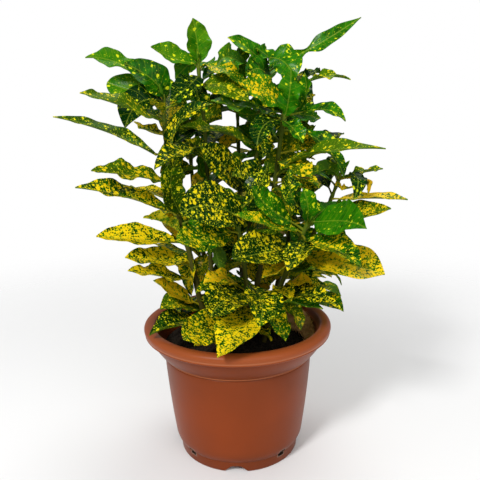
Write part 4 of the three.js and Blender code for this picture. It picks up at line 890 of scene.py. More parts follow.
def fits_inside(blade, shown_tree, every_tree, reach):
    """Whether an inner leaf crosses no leaf, covers none that the view shows and keeps well
    inside the reach of the solids."""
    if sheet_tree([blade]).overlap(every_tree):
        return False
    sheet = flat_sheet(blade).reshape(-1, 3)
    if np.any(sheet < reach[0] + INNER_MARGIN) or np.any(sheet > reach[1] - INNER_MARGIN):
        return False
    for point in sheet:
        ray = Vector(point - EYE)
        hit = shown_tree.ray_cast(Vector(EYE), ray.normalized())[3]
        if hit is None and not is_dense(*view_of(point)):
            return False
        if hit is not None and hit > ray.length:
            return False
        if math.hypot(point[0], point[1]) > inner_radius(MOUTH_HEIGHT) and point[2] < POT_HEIGHT:
            return False
        if point[2] < SOIL_HEIGHT + SOIL_CROWN + SOIL_MARGIN:
            return False
    return True


def inner_leaves(curves, leaves):
    """Adds the small inner leaves, each turned until it fits."""
    draws = seeded_draws(DRAW_SEED + 3)
    reach = plant_reach()
    seen = sheet_tree([b for group in leaves.values() for b in group if not b["hidden"]])
    for name, curve in curves.items():
        low, high = INNER_STRETCH
        for i in range(INNER_LEAVES):
            height = low + (high - low) * i / (INNER_LEAVES - 1)
            leaf = grown(draws, INNER_HABIT, curve.at(height),
                         INNER_LENGTH * (1 - INNER_SHORTENING * height),
                         360 * (i * GOLDEN_SHARE + 0.05),
                         INNER_RISE[0] + INNER_RISE[1] * height)
            look = {**waviness(draws), "seed": next(draws)}
            look["kind"] = kind_at(height, next(draws), INNER_KINDS)
            every = sheet_tree([b for group in leaves.values() for b in group])
            for step in INNER_STEPS:
                blade = {**back_leaf(leaf, step), **look}
                if fits_inside(blade, seen, every, reach):
                    leaves[name].append(blade)
                    break


def width_share(shares, shape, drawn=0.0):
    """The blade's outline: an oval that runs out to a tip, finer where it is drawn out."""
    t = np.clip(shares, 0, 1)
    if shape == ROUND:
        return np.maximum(np.sin(math.pi * t ** ROUND_LEAN), 0) ** ROUND_FULLNESS
    late = np.clip((t - SHOULDER) / (1 - SHOULDER), 0, 1)
    fullness = OVAL_FULLNESS + drawn * late ** 2
    oval = np.maximum(np.sin(math.pi * t ** OVAL_LEAN), 0) ** fullness
    oval = oval * (1 + max(SHOULDER_SWELL - 0.5 * drawn, 0) * np.sin(math.pi * late))
    if shape == WAISTED:
        oval = oval * (1 - WAIST_DEPTH * np.exp(-(((t - WAIST) / WAIST_LENGTH) ** 2)))
    return oval


def broad_share(shares, keen):
    """The outline of a broad blade: full near its foot, with straight sides to the tip.
    A keen one narrows sooner."""
    belly = BELLY - 0.14 * keen
    foot = 1 - np.clip(1 - shares / belly, 0, 1) ** 2.2
    head = 1 - np.clip((shares - belly) / (1 - belly), 0, 1) ** (TIP_POWER - 0.4 * keen)
    return np.minimum(foot, head) * (1 - 0.12 * keen)


def outline(blade, shares, place):
    """A blade's width share: what the view foreshortens is laid out as the view shows it."""
    long = np.linalg.norm(np.diff(place, axis=0), axis=1).sum()
    drawn = min(max(0.6 - 1.3 * blade["wide"] / long, 0.04), 0.4)
    oval = width_share(shares, blade["shape"], drawn)
    if blade.get("hidden", True) or blade["shape"] != PLAIN:
        return oval
    path = np.array([view_of(point) for point in place])
    gone = np.concatenate([[0], np.cumsum(np.linalg.norm(np.diff(path, axis=0), axis=1))])
    remote = np.linalg.norm(place - EYE, axis=1)
    squat = blade["wide"] * FOCAL_PIXELS / (gone[-1] * remote.mean())
    turned = 1 - gone[-1] * remote.mean() / (FOCAL_PIXELS * long)
    share = ramped(squat, *SQUAT_BLADE) * ramped(turned, *TURNED_BLADE)
    share = max(share, min(blade["keen"], 1))
    broad = broad_share(gone / gone[-1], blade["keen"]) * remote / remote.mean()
    return oval + share * (broad - oval)


def blade_relief(blade, t, hand, span, half, long):
    """How far each point of a blade stands off the plane of its midrib: cupped, waved and
    frilled toward its edges, quilted between its veins and sunk along its midrib."""
    reach = np.abs(hand)
    wave, seed = blade["wave"], blade["seed"]
    swell = np.sin(math.pi * t)
    turns = blade["waves"] * t + blade["phase"] + 0.21 * hand
    ripple = RIPPLE_HEIGHT * wave * swell * np.sin(math.tau * turns) * reach ** 1.6
    turns = FRILLS * blade["waves"] * t + 3 * seed + 0.37 * hand
    frill = FRILL_HEIGHT * wave * swell ** 0.7 * np.sin(math.tau * turns) * reach ** 2.4
    rank = (t * long - VEIN_SWEEP * np.abs(span)) / VEIN_SPACING + seed
    quilt = (QUILT_HEIGHT * (np.abs(np.sin(math.pi * rank)) - 0.6)
             * 4 * reach * (1 - reach) * np.clip(half / QUILT_HALF, 0, 1))
    fold = half * math.sin(blade["cup"]) * (reach ** 1.2 - 0.5)
    groove = GROOVE_SINK * np.exp(-(np.abs(span) / GROOVE_WIDTH) ** 2)
    return fold + ripple + frill + quilt - groove


def blade_faces(rows, columns):
    """Faces of a blade's top, of its underside and of the edge between them."""
    total = rows * columns
    faces = grid_faces(rows, columns)
    faces += [face[::-1] for face in counted_from(total, faces)]
    edge = edge_of_grid(rows, columns)
    return faces + [(b, a, a + total, b + total) for a, b in zip(edge, edge[1:] + edge[:1])]


def add_blade(shape, blade):
    """A thin closed blade, thicker along its midrib."""
    even = np.linspace(0, 1, BLADE_ROWS + 1)
    shares = 0.75 * even + 0.25 * (0.5 - 0.5 * np.cos(math.pi * even))
    place, _, side, normal = midrib(blade, shares)
    steps = np.linspace(-1, 1, BLADE_COLUMNS + 1)
    hand = np.sign(steps) * np.abs(steps) ** 1.15
    long = np.linalg.norm(np.diff(place, axis=0), axis=1).sum()
    least = np.where(shares < 0.5, FOOT_HALF, TIP_HALF)
    half = np.maximum(outline(blade, shares, place) * blade["wide"] / 2, least)[:, None]
    t = shares[:, None]
    span = half * hand
    rise = blade_relief(blade, t, hand, span, half, long)
    top = (place[:, None, :] + side[:, None, :] * (span * math.cos(blade["cup"]))[..., None]
           + normal[:, None, :] * rise[..., None])
    thick = BLADE_EDGE + BLADE_MIDRIB * np.exp(-(np.abs(span) / MIDRIB_WIDTH) ** 2)
    under = top - normal[:, None, :] * thick[..., None]
    pattern = np.stack([span, np.broadcast_to(t * long, span.shape),
                        np.full(span.shape, blade["seed"] * SEED_SPREAD)], axis=-1)
    pattern = pattern.reshape(-1, 3)
    shape.add(np.concatenate([top.reshape(-1, 3), under.reshape(-1, 3)]),
              blade_faces(*span.shape), np.concatenate([pattern, pattern]),
              LEAF_KINDS[blade["kind"]], np.repeat((1.0, 0.0), span.size))


def stalk_root(curve, start):
    """Where a leaf stalk leaves its stem: a little lower than the foot of its blade."""
    below = start - UP * STALK_DROP
    places = curve.many(np.linspace(0, 1, 41))
    return places[np.argmin(np.linalg.norm(places - below, axis=1))]


def add_bud(shape, curve, draws):
    """The folded young leaves at a stem's top."""
    top = curve.at(1.0)
    way = unit(top - curve.at(0.97))
    for i in range(BUD_LEAVES):
        turn = math.tau * (i / BUD_LEAVES + next(draws) * 0.2)
        lean = np.array((math.cos(turn), math.sin(turn), 0.0))
        long = within(draws, *BUD_LENGTH)
        heading = unit(way + lean * within(draws, *BUD_LEAN))
        start = top - way * 1.5 + lean * 0.6
        tip = start + heading * long
        face = unit(-lean - heading * np.dot(-lean, heading))
        blade = {"start": start, "middle": (start + tip) / 2 + lean * 0.9, "tip": tip,
                 "face": face, "wide": long * 0.3, "shape": PLAIN, "cup": 0.7,
                 "wave": 0.3, "waves": 1.0, "phase": next(draws), "kind": "plain",
                 "seed": next(draws)}
        add_blade(shape, blade)


# Rings of the pot

def arc_between(first, middle, last, steps):
    """Points of a quadratic arc through its middle, its first end left out."""
    first, middle, last = (np.array(p, float) for p in (first, middle, last))
    control = 2 * middle - (first + last) / 2
    t = (np.arange(steps) + 1)[:, None] / steps
    return [tuple(point) for point in bent(first, control, last, t)]


def inner_radius(height):
    """Radius of the inside of the pot's wall at a height."""
    share = (height - BODY_BOTTOM_HEIGHT) / (GROOVE_HEIGHT - BODY_BOTTOM_HEIGHT)
    straight = BODY_BOTTOM_RADIUS + share * (GROOVE_RADIUS - BODY_BOTTOM_RADIUS)
    bulge = 4 * BODY_BULGE * max(0.0, share * (1 - share))
    if height <= GROOVE_HEIGHT - GROOVE_DEPTH:
        return straight + bulge - WALL
    flare = (height - GROOVE_HEIGHT) / (MOUTH_HEIGHT - GROOVE_HEIGHT)
    return GROOVE_RADIUS - WALL + flare * (MOUTH_RADIUS - GROOVE_RADIUS + WALL)


def pot_profile():
    """Radius and height round the pot's wall, from under its middle to its inner floor."""
    ring = FOOT_RADIUS - FOOT_WIDTH
    body_bottom = (BODY_BOTTOM_RADIUS, BODY_BOTTOM_HEIGHT)
    groove_top = (GROOVE_RADIUS, GROOVE_HEIGHT - 2)
    middle = ((BODY_BOTTOM_RADIUS + GROOVE_RADIUS) / 2 + BODY_BULGE,
              (BODY_BOTTOM_HEIGHT + GROOVE_HEIGHT) / 2)
    rim_side = (RIM_RADIUS, RIM_HEIGHT)
    rim_top = ((RIM_RADIUS + MOUTH_RADIUS) / 2 + 1.5, POT_HEIGHT)
    flare_inside, neck_inside, *body_inside = [(inner_radius(z), z) for z in INSIDE_HEIGHTS]
    points = [(ring - 3.2, UNDERSIDE_HEIGHT)]
    points += arc_between(points[0], (ring - 1.6, UNDERSIDE_HEIGHT - 1.2),
                          (ring - 0.5, 0.8), 4)
    points += [(ring + 0.4, 0.0), *beside(FOOT_RADIUS, 0.0, FOOT_EDGE),
               (FOOT_TOP_RADIUS - 0.2, FOOT_HEIGHT - 2), (FOOT_TOP_RADIUS, FOOT_HEIGHT)]
    points += arc_between(points[-1], FOOT_BEND, body_bottom, 7)
    points += arc_between(body_bottom, middle, groove_top, 14)
    points += beside(GROOVE_RADIUS, GROOVE_HEIGHT, LEDGE)
    points += arc_between(points[-1], NECK_BEND, NECK_TOP, 6)
    points += arc_between(points[-1], FLARE_BEND, FLARE_TOP, 5)
    points += LIP_UNDERSIDE + beside(LIP_RADIUS, LIP_HEIGHT, LIP_BEAD)
    points += arc_between(points[-1], RIM_BEND, rim_side, 5)
    points += arc_between(rim_side, RIM_SHOULDER, rim_top, 7)
    points += arc_between(rim_top, RIM_INSIDE, (MOUTH_RADIUS, MOUTH_HEIGHT - 0.8), 5)
    points += [(MOUTH_RADIUS - 0.7, MOUTH_HEIGHT - 2.4), flare_inside]
    points += arc_between(flare_inside, neck_inside,
                          (inner_radius(GROOVE_HEIGHT), GROOVE_HEIGHT), 4)
    points += [*body_inside, (inner_radius(BODY_BOTTOM_HEIGHT + 2), BODY_BOTTOM_HEIGHT + 2),
               (FOOT_TOP_RADIUS - WALL - 1, FLOOR_HEIGHT + 4),
               (FOOT_TOP_RADIUS - WALL - 6, FLOOR_HEIGHT)]
    return points


def beside(radius, height, steps):
    """Points of an outline at steps from a radius and a height."""
    return [(radius + out, height + up) for out, up in steps]


def turned_body(name, profile, sides):
    """A closed body of revolution from a profile whose ends meet the axis."""
    turns = np.arange(sides) * math.tau / sides
    points = [(0.0, 0.0, profile[0][1])]
    for radius, height in profile:
        points += [(radius * math.cos(turn), radius * math.sin(turn), height) for turn in turns]
    points.append((0.0, 0.0, profile[-1][1]))
    faces = counted_from(1, grid_faces(len(profile), sides, closed=True))
    end = len(points) - 1
    for j in range(sides):
        k = (j + 1) % sides
        faces.append((0, 1 + k, 1 + j))
        faces.append((end, end - sides + j, end - sides + k))
    return plain_mesh(name, points, faces)


def shown(name, data):
    """An object of the scene from a mesh, a lamp or a camera."""
    piece = bpy.data.objects.new(name, data)
    bpy.context.scene.collection.objects.link(piece)
    return piece


def faces_outward(mesh):
    """Merges doubled points and points every face outward."""
    work = bmesh.new()
    work.from_mesh(mesh)
    bmesh.ops.remove_doubles(work, verts=work.verts, dist=1e-6)
    bmesh.ops.recalc_face_normals(work, faces=work.faces)
    work.to_mesh(mesh)
    work.free()
    mesh.update()


def settle_piece(piece, node):
    """Ties a finished piece to the body and hides the solid that it stands for."""
    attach(piece, BODY)
    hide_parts(node)


def baked(piece):
    """The piece's evaluated mesh in place of its modifiers."""
    bpy.context.view_layer.update()
    graph = bpy.context.evaluated_depsgraph_get()
    mesh = bpy.data.meshes.new_from_object(piece.evaluated_get(graph))
    old = piece.data
    piece.modifiers.clear()
    piece.data = mesh
    bpy.data.meshes.remove(old)
    return mesh


# Pieces

def foot_cutters():
    """Bars across the foot for its arches, and blocks for the drain slots above it."""
    half = ARCH_WIDTH / 2
    arch = [(-half, -ARCH_DROP), (half, -ARCH_DROP)]
    arch += [(half - ARCH_SHOULDER * t, ARCH_HEIGHT * t ** 1.6 * (2.6 - 1.6 * t))
             for t in np.linspace(0.06, 1, 9)]
    arch += [(-x, z) for x, z in arch[:1:-1]]
    slot = beside(0.0, SLOT_MIDDLE,
                  rounded_outline(SLOT_WIDTH / 2, SLOT_HEIGHT / 2, SLOT_CORNER))
    points, faces = [], []
    for count, first, reach, shape in ((ARCH_COUNT, ARCH_TURN, ARCH_REACH, arch),
                                       (SLOT_COUNT, SLOT_TURN, SLOT_REACH, slot)):
        for i in range(count):
            turn = math.radians(first + i * 360 / count)
            out = np.array((math.cos(turn), math.sin(turn), 0.0))
            side = np.array((-math.sin(turn), math.cos(turn), 0.0))
            size = len(shape)
            ends = [tuple(range(size))[::-1], tuple(range(size, 2 * size))]
            faces += counted_from(len(points), ends + grid_faces(2, size, closed=True))
            for radius in reach:
                points += [out * radius + side * x + UP * z for x, z in shape]
    return plain_mesh("foot_cutters", points, faces)


def rounded_outline(half_wide, half_high, corner):
    """A rectangle with round corners, round its own middle."""
    points = []
    for quarter, (sx, sz) in enumerate(((1, 1), (-1, 1), (-1, -1), (1, -1))):
        for step in range(4):
            angle = math.pi / 2 * (quarter + step / 3)
            points.append((sx * (half_wide - corner) + corner * math.cos(angle),
                           sz * (half_high - corner) + corner * math.sin(angle)))
    return points


def build_pot(settings):
    """The moulded pot, cut open at its foot arches and drain slots."""
    mesh = turned_body("pot_wall", pot_profile(), settings.turn_steps)
    faces_outward(mesh)
    pot = shown("pot_wall", mesh)
    cutter = shown("foot_cutters", foot_cutters())
    faces_outward(cutter.data)
    cut = pot.modifiers.new("foot openings", "BOOLEAN")
    cut.operation = "DIFFERENCE"
    cut.solver = "EXACT"
    cut.object = cutter
    mesh = baked(pot)
    bpy.data.objects.remove(cutter)
    mesh.materials.clear()
    mesh.materials.append(pot_material(settings))
    mesh.polygons.foreach_set("use_smooth", [True] * len(mesh.polygons))
    mesh.set_sharp_from_angle(angle=POT_CREASE)
    settle_piece(pot, "pot")


def hummocks(x, y, size, height):
    """Gentle unevenness of a loose surface."""
    spot = Vector((x / size, y / size, 0.7))
    return height * noise.fractal(spot, 0.7, 2.0, 4)


def build_soil(settings):
    """The soil's body, gently uneven, with crumbs scattered over its top."""
    wall = inner_radius(SOIL_HEIGHT) - FILL_GAP
    profile = [(FOOT_TOP_RADIUS - WALL - 6.5, FLOOR_HEIGHT + GAP),
               (FOOT_TOP_RADIUS - WALL - 2, FLOOR_HEIGHT + 4),
               (inner_radius(BODY_BOTTOM_HEIGHT + 2) - FILL_GAP - 0.2, BODY_BOTTOM_HEIGHT + 2)]
    profile += [(inner_radius(height) - FILL_GAP, height)
                for height in (SOIL_BEND_HEIGHT, GROOVE_HEIGHT, SOIL_HEIGHT)]
    for step in range(1, SOIL_RINGS):
        share = step / SOIL_RINGS
        profile.append((wall * (1 - share), SOIL_HEIGHT + SOIL_CROWN * (1 - (1 - share) ** 2)))
    mesh = turned_body("potting_soil", profile, SOIL_SIDES)
    for corner in mesh.vertices:
        x, y, z = corner.co / MM
        radius = math.hypot(x, y)
        if z > SOIL_HEIGHT - 0.5 and radius < wall - 1:
            rise = hummocks(x, y, HUMMOCK_SPACING, HUMMOCK_HEIGHT)
            corner.co.z += rise * MM * min(1, (wall - radius) / 10)
    faces_outward(mesh)
    soil = shown("potting_soil", mesh)
    grow(soil, crumb_tree(), {"Density": settings.crumbs, "Crumb size": settings.crumb_size,
                              "Material": soil_material(settings)})
    settle_piece(soil, "soil")


def coir_section(share):
    """The bank's cross-section at a share of its way round: up the pot's wall and down its
    lumpy face."""
    foot = SOIL_HEIGHT + SOIL_CROWN + GAP
    turn = math.radians(COIR_START + share * (COIR_END - COIR_START))
    swell = 0.25 + 0.75 * math.sin(math.pi * share)
    wide, high = COIR_WIDTH * swell, COIR_HEIGHT * swell
    back, top = inner_radius(foot) - FILL_GAP, inner_radius(foot + high)
    section = [(back, foot), ((back + top) / 2 - 0.6, foot + high / 2),
               (top - FILL_GAP - 0.3, foot + high)]
    for step in range(1, COIR_COLUMNS + 1):
        t = step / COIR_COLUMNS
        drop = high * (1 - t) ** 0.8
        radius = inner_radius(foot + drop) * (1 - t) + (back - wide) * t
        lump = hummocks(radius * turn, foot + drop, LUMP_SPACING, LUMP_HEIGHT)
        lump *= math.sin(math.pi * t)
        section.append((radius - 0.8 - lump, foot + drop + lump))
    return [(r * math.cos(turn), r * math.sin(turn), z) for r, z in section]


def build_coir(settings):
    """A bank of fibre against the pot's wall, with loose fibres over it."""
    sections = [coir_section(i / COIR_STEPS) for i in range(COIR_STEPS + 1)]
    columns = len(sections[0])
    points = [point for section in sections for point in section]
    first = tuple(range(columns))
    faces = grid_faces(len(sections), columns, closed=True) + [first]
    faces += [face[::-1] for face in counted_from(len(points) - columns, [first])]
    mesh = plain_mesh("coir_bank", points, faces)
    faces_outward(mesh)
    coir = shown("coir_bank", mesh)
    grow(coir, fibre_tree(), {"Density": settings.fibres,
                              "Fibre length": settings.fibre_length,
                              "Fibre radius": settings.fibre_radius,
                              "Material": coir_material(settings)})
    settle_piece(coir, "coir")


class Twigs:
    """Centre lines with the radius and the look of each point, for the tube tree."""

    def __init__(self):
        self.points, self.edges = [], []
        self.radii, self.looks = [], []

    def add(self, path, radii, looks):
        """One more line through the points of its path."""
        steps = [(i, i + 1) for i in range(len(path) - 1)]
        self.edges.extend(counted_from(len(self.points), steps))
        self.points.extend(path)
        self.radii.extend(radii)
        self.looks.extend(looks)

    def mesh(self, name):
        """All the lines as one mesh of edges."""
        mesh = plain_mesh(name, self.points, [], self.edges)
        set_attribute(mesh, "twig_radius", "value", np.array(self.radii) * MM)
        set_attribute(mesh, "leaf_look", "vector", self.looks)
        return mesh


def add_stalk_line(twigs, curve, blade):
    """The leaf stalk from inside the stem to inside the blade's foot."""
    root = stalk_root(curve, blade["start"])
    _, along, _, normal = midrib(blade, [0.0])
    end = blade["start"] + along[0] * 4 - normal[0] * 0.5
    bend = (root + blade["start"]) / 2 + UP * 0.8
    t = np.linspace(0, 1, STALK_STEPS + 1)[:, None]
    path = bent(root, bend, end, t)
    radii = STALK_RADIUS + STALK_FLARE * (1 - t[:, 0]) ** 3
    radii[-1] = STALK_END_RADIUS
    light, gold, _ = LEAF_KINDS[blade["kind"]]
    twigs.add(path, radii, [(0.62 + 0.3 * light, gold, 1.0)] * len(path))


def add_stem_line(twigs, name, curve, leaves):
    """The stem with its foot in the soil, swollen where the leaf stalks leave it."""
    thick, thin, _ = STEMS[name]
    shares = np.linspace(0, 1, STEM_STEPS + 1)
    path = curve.many(shares)
    plain = STEM_SLIMNESS * (thick + (thin - thick) * shares)
    radii = plain.copy()
    for blade in leaves:
        near = np.linalg.norm(path - stalk_root(curve, blade["start"]), axis=1)
        radii = radii + NODE_SWELL * np.exp(-(near / NODE_LENGTH) ** 2)
    radii = np.minimum(radii, plain + 0.8)
    foot = np.array((path[0][0], path[0][1], STEM_FOOT))
    path = np.concatenate([[foot, path[0] - UP * STALK_DROP], path])
    radii = np.concatenate([[radii[0], radii[0]], radii])
    rise = np.clip((path[:, 2] - SOIL_HEIGHT) / (path[-1][2] - SOIL_HEIGHT), 0, 1)
    twigs.add(path, radii, [(0.06 + 0.6 * share ** 1.5, 0.0, share) for share in rise])


def build_leafy_stems(settings):
    """For each stem, a piece with its leaves and one with the stem and leaf stalks."""
    leaf = leaf_material(settings)
    bark = stem_material(settings)
    tubes = tube_tree()
    draws = seeded_draws(DRAW_SEED + 2)
    for name, leaves in all_leaves().items():
        curve = StemCurve(STEMS[name][2])
        blades = Shape()
        twigs = Twigs()
        for blade in leaves:
            add_blade(blades, blade)
            add_stalk_line(twigs, curve, blade)
        add_bud(blades, curve, draws)
        add_stem_line(twigs, name, curve, leaves)
        leafage = shown(f"leaves_{name}", blades.mesh(f"leaves_{name}", leaf))
        leafage.data.set_sharp_from_angle(angle=LEAF_CREASE)
        wood = shown(f"stem_{name}", twigs.mesh(f"stem_{name}"))
        grow(wood, tubes, {"Sides": STEM_SIDES, "Material": bark})
        for piece in (leafage, wood):
            settle_piece(piece, f"leafy_stem_{name}")


# Short ways of building node trees

class Value:
    """A node's output, whose sums, differences and products add math nodes to its tree."""

    def __init__(self, nodes, socket):
        self.nodes = nodes
        self.socket = socket

    def __add__(self, other):
        return self.nodes.math("ADD", self, other)

    def __sub__(self, other):
        return self.nodes.math("SUBTRACT", self, other)

    def __mul__(self, other):
        return self.nodes.math("MULTIPLY", self, other)

    def __abs__(self):
        return self.nodes.math("ABSOLUTE", self)


class Nodes:
    """Short ways of adding nodes to a tree and joining them."""

    def __init__(self, tree):
        self.tree = tree

    def join(self, value, socket):
        """Links an output to a socket, or sets the socket to a plain value or colour."""
        if isinstance(value, Value):
            value = value.socket
        if isinstance(value, bpy.types.NodeSocket):
            self.tree.links.new(value, socket)
        else:
            socket.default_value = rgba(value) if socket.type == "RGBA" else value

    def add(self, kind, sockets=None, **settings):
        """Adds a node with its settings and with what its sockets get."""
        node = self.tree.nodes.new(kind)
        for label, value in settings.items():
            setattr(node, label, value)
        for key, value in (sockets or {}).items():
            self.join(value, node.inputs[key])
        return node

    def value(self, kind, sockets=None, output=0, **settings):
        """Adds a node and gives one of its outputs."""
        return Value(self, self.add(kind, sockets, **settings).outputs[output])

    def math(self, operation, *values):
        return self.value("ShaderNodeMath", dict(enumerate(values)), operation=operation)

    def step(self, value, low, high):
        """Smoothly from 0 at low to 1 at high."""
        return self.value("ShaderNodeMapRange", {0: value, 1: low, 2: high, 3: 0.0, 4: 1.0},
                          interpolation_type="SMOOTHSTEP")

    def band(self, value, first, low, high, last):
        """1 between low and high, smoothly down to 0 at first and at last."""
        return self.step(value, first, low) * self.step(value, last, high)

    def split(self, vector):
        """The three parts of a vector or a colour."""
        return [Value(self, part)
                for part in self.add("ShaderNodeSeparateXYZ", {0: vector}).outputs]

    def vector(self, x, y, z):
        return self.value("ShaderNodeCombineXYZ", {0: x, 1: y, 2: z})

    def attribute(self, name, output="Vector"):
        return self.value("ShaderNodeAttribute", output=output, attribute_name=name)

    def object_place(self):
        return self.value("ShaderNodeTexCoord", output="Object")

    def noise(self, vector, scale, detail=2.0, roughness=0.5):
        return self.value("ShaderNodeTexNoise", {"Vector": vector, "Scale": scale,
                                                 "Detail": detail, "Roughness": roughness})

    def mix(self, share, first, second):
        return self.value("ShaderNodeMix", {0: share, 6: first, 7: second}, output=2,
                          data_type="RGBA")

    def ramp(self, value, *stops):
        """A colour that runs through its stops as a value rises."""
        node = self.add("ShaderNodeValToRGB", {0: value})
        elements = node.color_ramp.elements
        elements.remove(elements[-1])
        for number, (place, colour) in enumerate(stops):
            element = elements.new(place) if number else elements[0]
            element.position, element.color = place, rgba(colour)
        return node.outputs[0]

    def bump(self, shader, height, strength, distance):
        """Gives a shader a fine relief."""
        bump = self.value("ShaderNodeBump", {"Strength": strength, "Distance": distance,
                                             "Height": height})
        self.join(bump, shader.inputs["Normal"])

    def random(self, low, high, seed):
        """A chance number, or a chance vector, between two others."""
        if isinstance(low, tuple):
            return self.value("FunctionNodeRandomValue", {0: low, 1: high, "Seed": seed},
                              data_type="FLOAT_VECTOR")
        return self.value("FunctionNodeRandomValue", {2: low, 3: high, "Seed": seed}, output=1,
                          data_type="FLOAT")


def rgba(colour):
    """A colour with its full cover."""
    return (*colour[:3], 1.0)


# Geometry trees

def new_tree(name, inputs):
    """A geometry tree with its named inputs. Its parts are added with Nodes."""
    tree = bpy.data.node_groups.new(name, "GeometryNodeTree")
    tree.interface.new_socket("Geometry", in_out="INPUT", socket_type="NodeSocketGeometry")
    for label, kind, value in inputs:
        socket = tree.interface.new_socket(label, in_out="INPUT", socket_type=kind)
        if value is not None:
            socket.default_value = value
    tree.interface.new_socket("Geometry", in_out="OUTPUT", socket_type="NodeSocketGeometry")
    nodes = Nodes(tree)
    return tree, nodes, nodes.add("NodeGroupInput").outputs


def finish_tree(nodes, parts, material):
    """Ends a geometry tree: its parts together, made real and given their material."""
    joined = nodes.add("GeometryNodeJoinGeometry")
    for part in parts:
        nodes.join(part, joined.inputs[0])
    real = nodes.value("GeometryNodeRealizeInstances", {0: joined.outputs[0]})
    clad = nodes.value("GeometryNodeSetMaterial", {"Geometry": real, "Material": material})
    nodes.add("NodeGroupOutput", {0: clad})


def grow(piece, tree, values):
    """Runs a geometry tree on a piece and keeps the plain mesh that comes out."""
    growth = piece.modifiers.new(tree.name, "NODES")
    growth.node_group = tree
    for item in tree.interface.items_tree:
        if item.in_out == "INPUT" and item.name in values:
            growth[item.identifier] = values[item.name]
    baked(piece)


def crumb_tree():
    """Scatters crumbs of soil over the faces that look up, most of them small."""
    tree, nodes, given = new_tree("soil crumbs", (
        ("Density", "NodeSocketFloat", 50000.0), ("Crumb size", "NodeSocketFloat", 0.002),
        ("Material", "NodeSocketMaterial", None)))
    upward = nodes.split(nodes.value("GeometryNodeInputNormal"))[2]
    flat = nodes.value("FunctionNodeCompare", {0: upward, 1: 0.6}, data_type="FLOAT",
                       operation="GREATER_THAN")
    spots = nodes.add("GeometryNodeDistributePointsOnFaces",
                      {"Mesh": given["Geometry"], "Selection": flat,
                       "Density": given["Density"], "Seed": 3})
    crumb = nodes.value("GeometryNodeMeshIcoSphere", {"Radius": 1.0, "Subdivisions": 1})
    size = nodes.math("POWER", nodes.random(0.25, 1.0, 5), 2.0) * given["Crumb size"]
    shape = nodes.random((0.6, 0.6, 0.45), (1.3, 1.3, 0.9), 8)
    scale = nodes.value("ShaderNodeVectorMath", {0: shape, "Scale": size}, operation="SCALE")
    turn = nodes.value("FunctionNodeEulerToRotation",
                       {0: nodes.random((0, 0, 0), (6.3, 6.3, 6.3), 11)})
    strewn = nodes.value("GeometryNodeInstanceOnPoints",
                         {"Points": spots.outputs["Points"], "Instance": crumb,
                          "Rotation": turn, "Scale": scale})
    finish_tree(nodes, (strewn, given["Geometry"]), given["Material"])
    return tree


def fibre_tree():
    """Lays bent fibres over the bank, each turned its own way along the surface."""
    tree, nodes, given = new_tree("coir fibres", (
        ("Density", "NodeSocketFloat", 100000.0), ("Fibre length", "NodeSocketFloat", 0.018),
        ("Fibre radius", "NodeSocketFloat", 0.0003), ("Material", "NodeSocketMaterial", None)))
    spots = nodes.add("GeometryNodeDistributePointsOnFaces",
                      {"Mesh": given["Geometry"], "Density": given["Density"], "Seed": 9})
    bend = nodes.value("GeometryNodeCurveQuadraticBezier",
                       {"Resolution": 5, "Start": (-0.5, -0.1, -0.06),
                        "Middle": (0.05, 0.3, 0.3), "End": (0.5, -0.1, -0.1)})
    length = nodes.random(0.45, 1.0, 2) * given["Fibre length"]
    thin = nodes.math("DIVIDE", given["Fibre radius"], given["Fibre length"])
    ring = nodes.value("GeometryNodeCurvePrimitiveCircle", {"Resolution": 3, "Radius": thin})
    fibre = nodes.value("GeometryNodeCurveToMesh",
                        {"Curve": bend, "Profile Curve": ring, "Fill Caps": True})
    spin = nodes.value("FunctionNodeEulerToRotation",
                       {0: nodes.random((-0.25, -0.25, -3.15), (0.25, 0.25, 3.15), 4)})
    lie = nodes.value("FunctionNodeRotateRotation",
                      {"Rotation": spots.outputs["Rotation"], "Rotate By": spin},
                      rotation_space="LOCAL")
    strewn = nodes.value("GeometryNodeInstanceOnPoints",
                         {"Points": spots.outputs["Points"], "Instance": fibre,
                          "Rotation": lie, "Scale": length})
    finish_tree(nodes, (strewn, given["Geometry"]), given["Material"])
    return tree


def tube_tree():
    """Turns centre lines into closed round tubes with each point's own radius."""
    tree, nodes, given = new_tree("twig tubes", (
        ("Sides", "NodeSocketInt", 12), ("Material", "NodeSocketMaterial", None)))
    lines = nodes.value("GeometryNodeMeshToCurve", {"Mesh": given["Geometry"]})
    radius = nodes.value("GeometryNodeInputNamedAttribute", {"Name": "twig_radius"},
                         output="Attribute", data_type="FLOAT")
    ring = nodes.value("GeometryNodeCurvePrimitiveCircle",
                       {"Resolution": given["Sides"], "Radius": 1.0})
    tubes = nodes.value("GeometryNodeCurveToMesh",
                        {"Curve": lines, "Profile Curve": ring, "Scale": radius,
                         "Fill Caps": True})
    smooth = nodes.value("GeometryNodeSetShadeSmooth", {"Geometry": tubes})
    finish_tree(nodes, (smooth,), given["Material"])
    return tree


# Materials

def new_material(name, finish):
    """A material with what is the same all over its surface."""
    material = bpy.data.materials.new(name)
    material.use_nodes = True
    nodes = Nodes(material.node_tree)
    shader = material.node_tree.nodes["Principled BSDF"]
    for label, value in finish.items():
        nodes.join(value, shader.inputs[label])
    return material, nodes, shader


def dabs(nodes, place, cells):
    """Round cells over a leaf: how far a point is from its cell's middle, and a chance."""
    across, along, seed = place
    scale, shift = cells
    spot = nodes.vector(seed * shift + across, seed * (shift * 1.7) + along, 0.0)
    found = nodes.add("ShaderNodeTexVoronoi", {"Vector": spot, "Scale": scale},
                      voronoi_dimensions="2D").outputs
    return found["Distance"], nodes.split(found["Color"])[0]


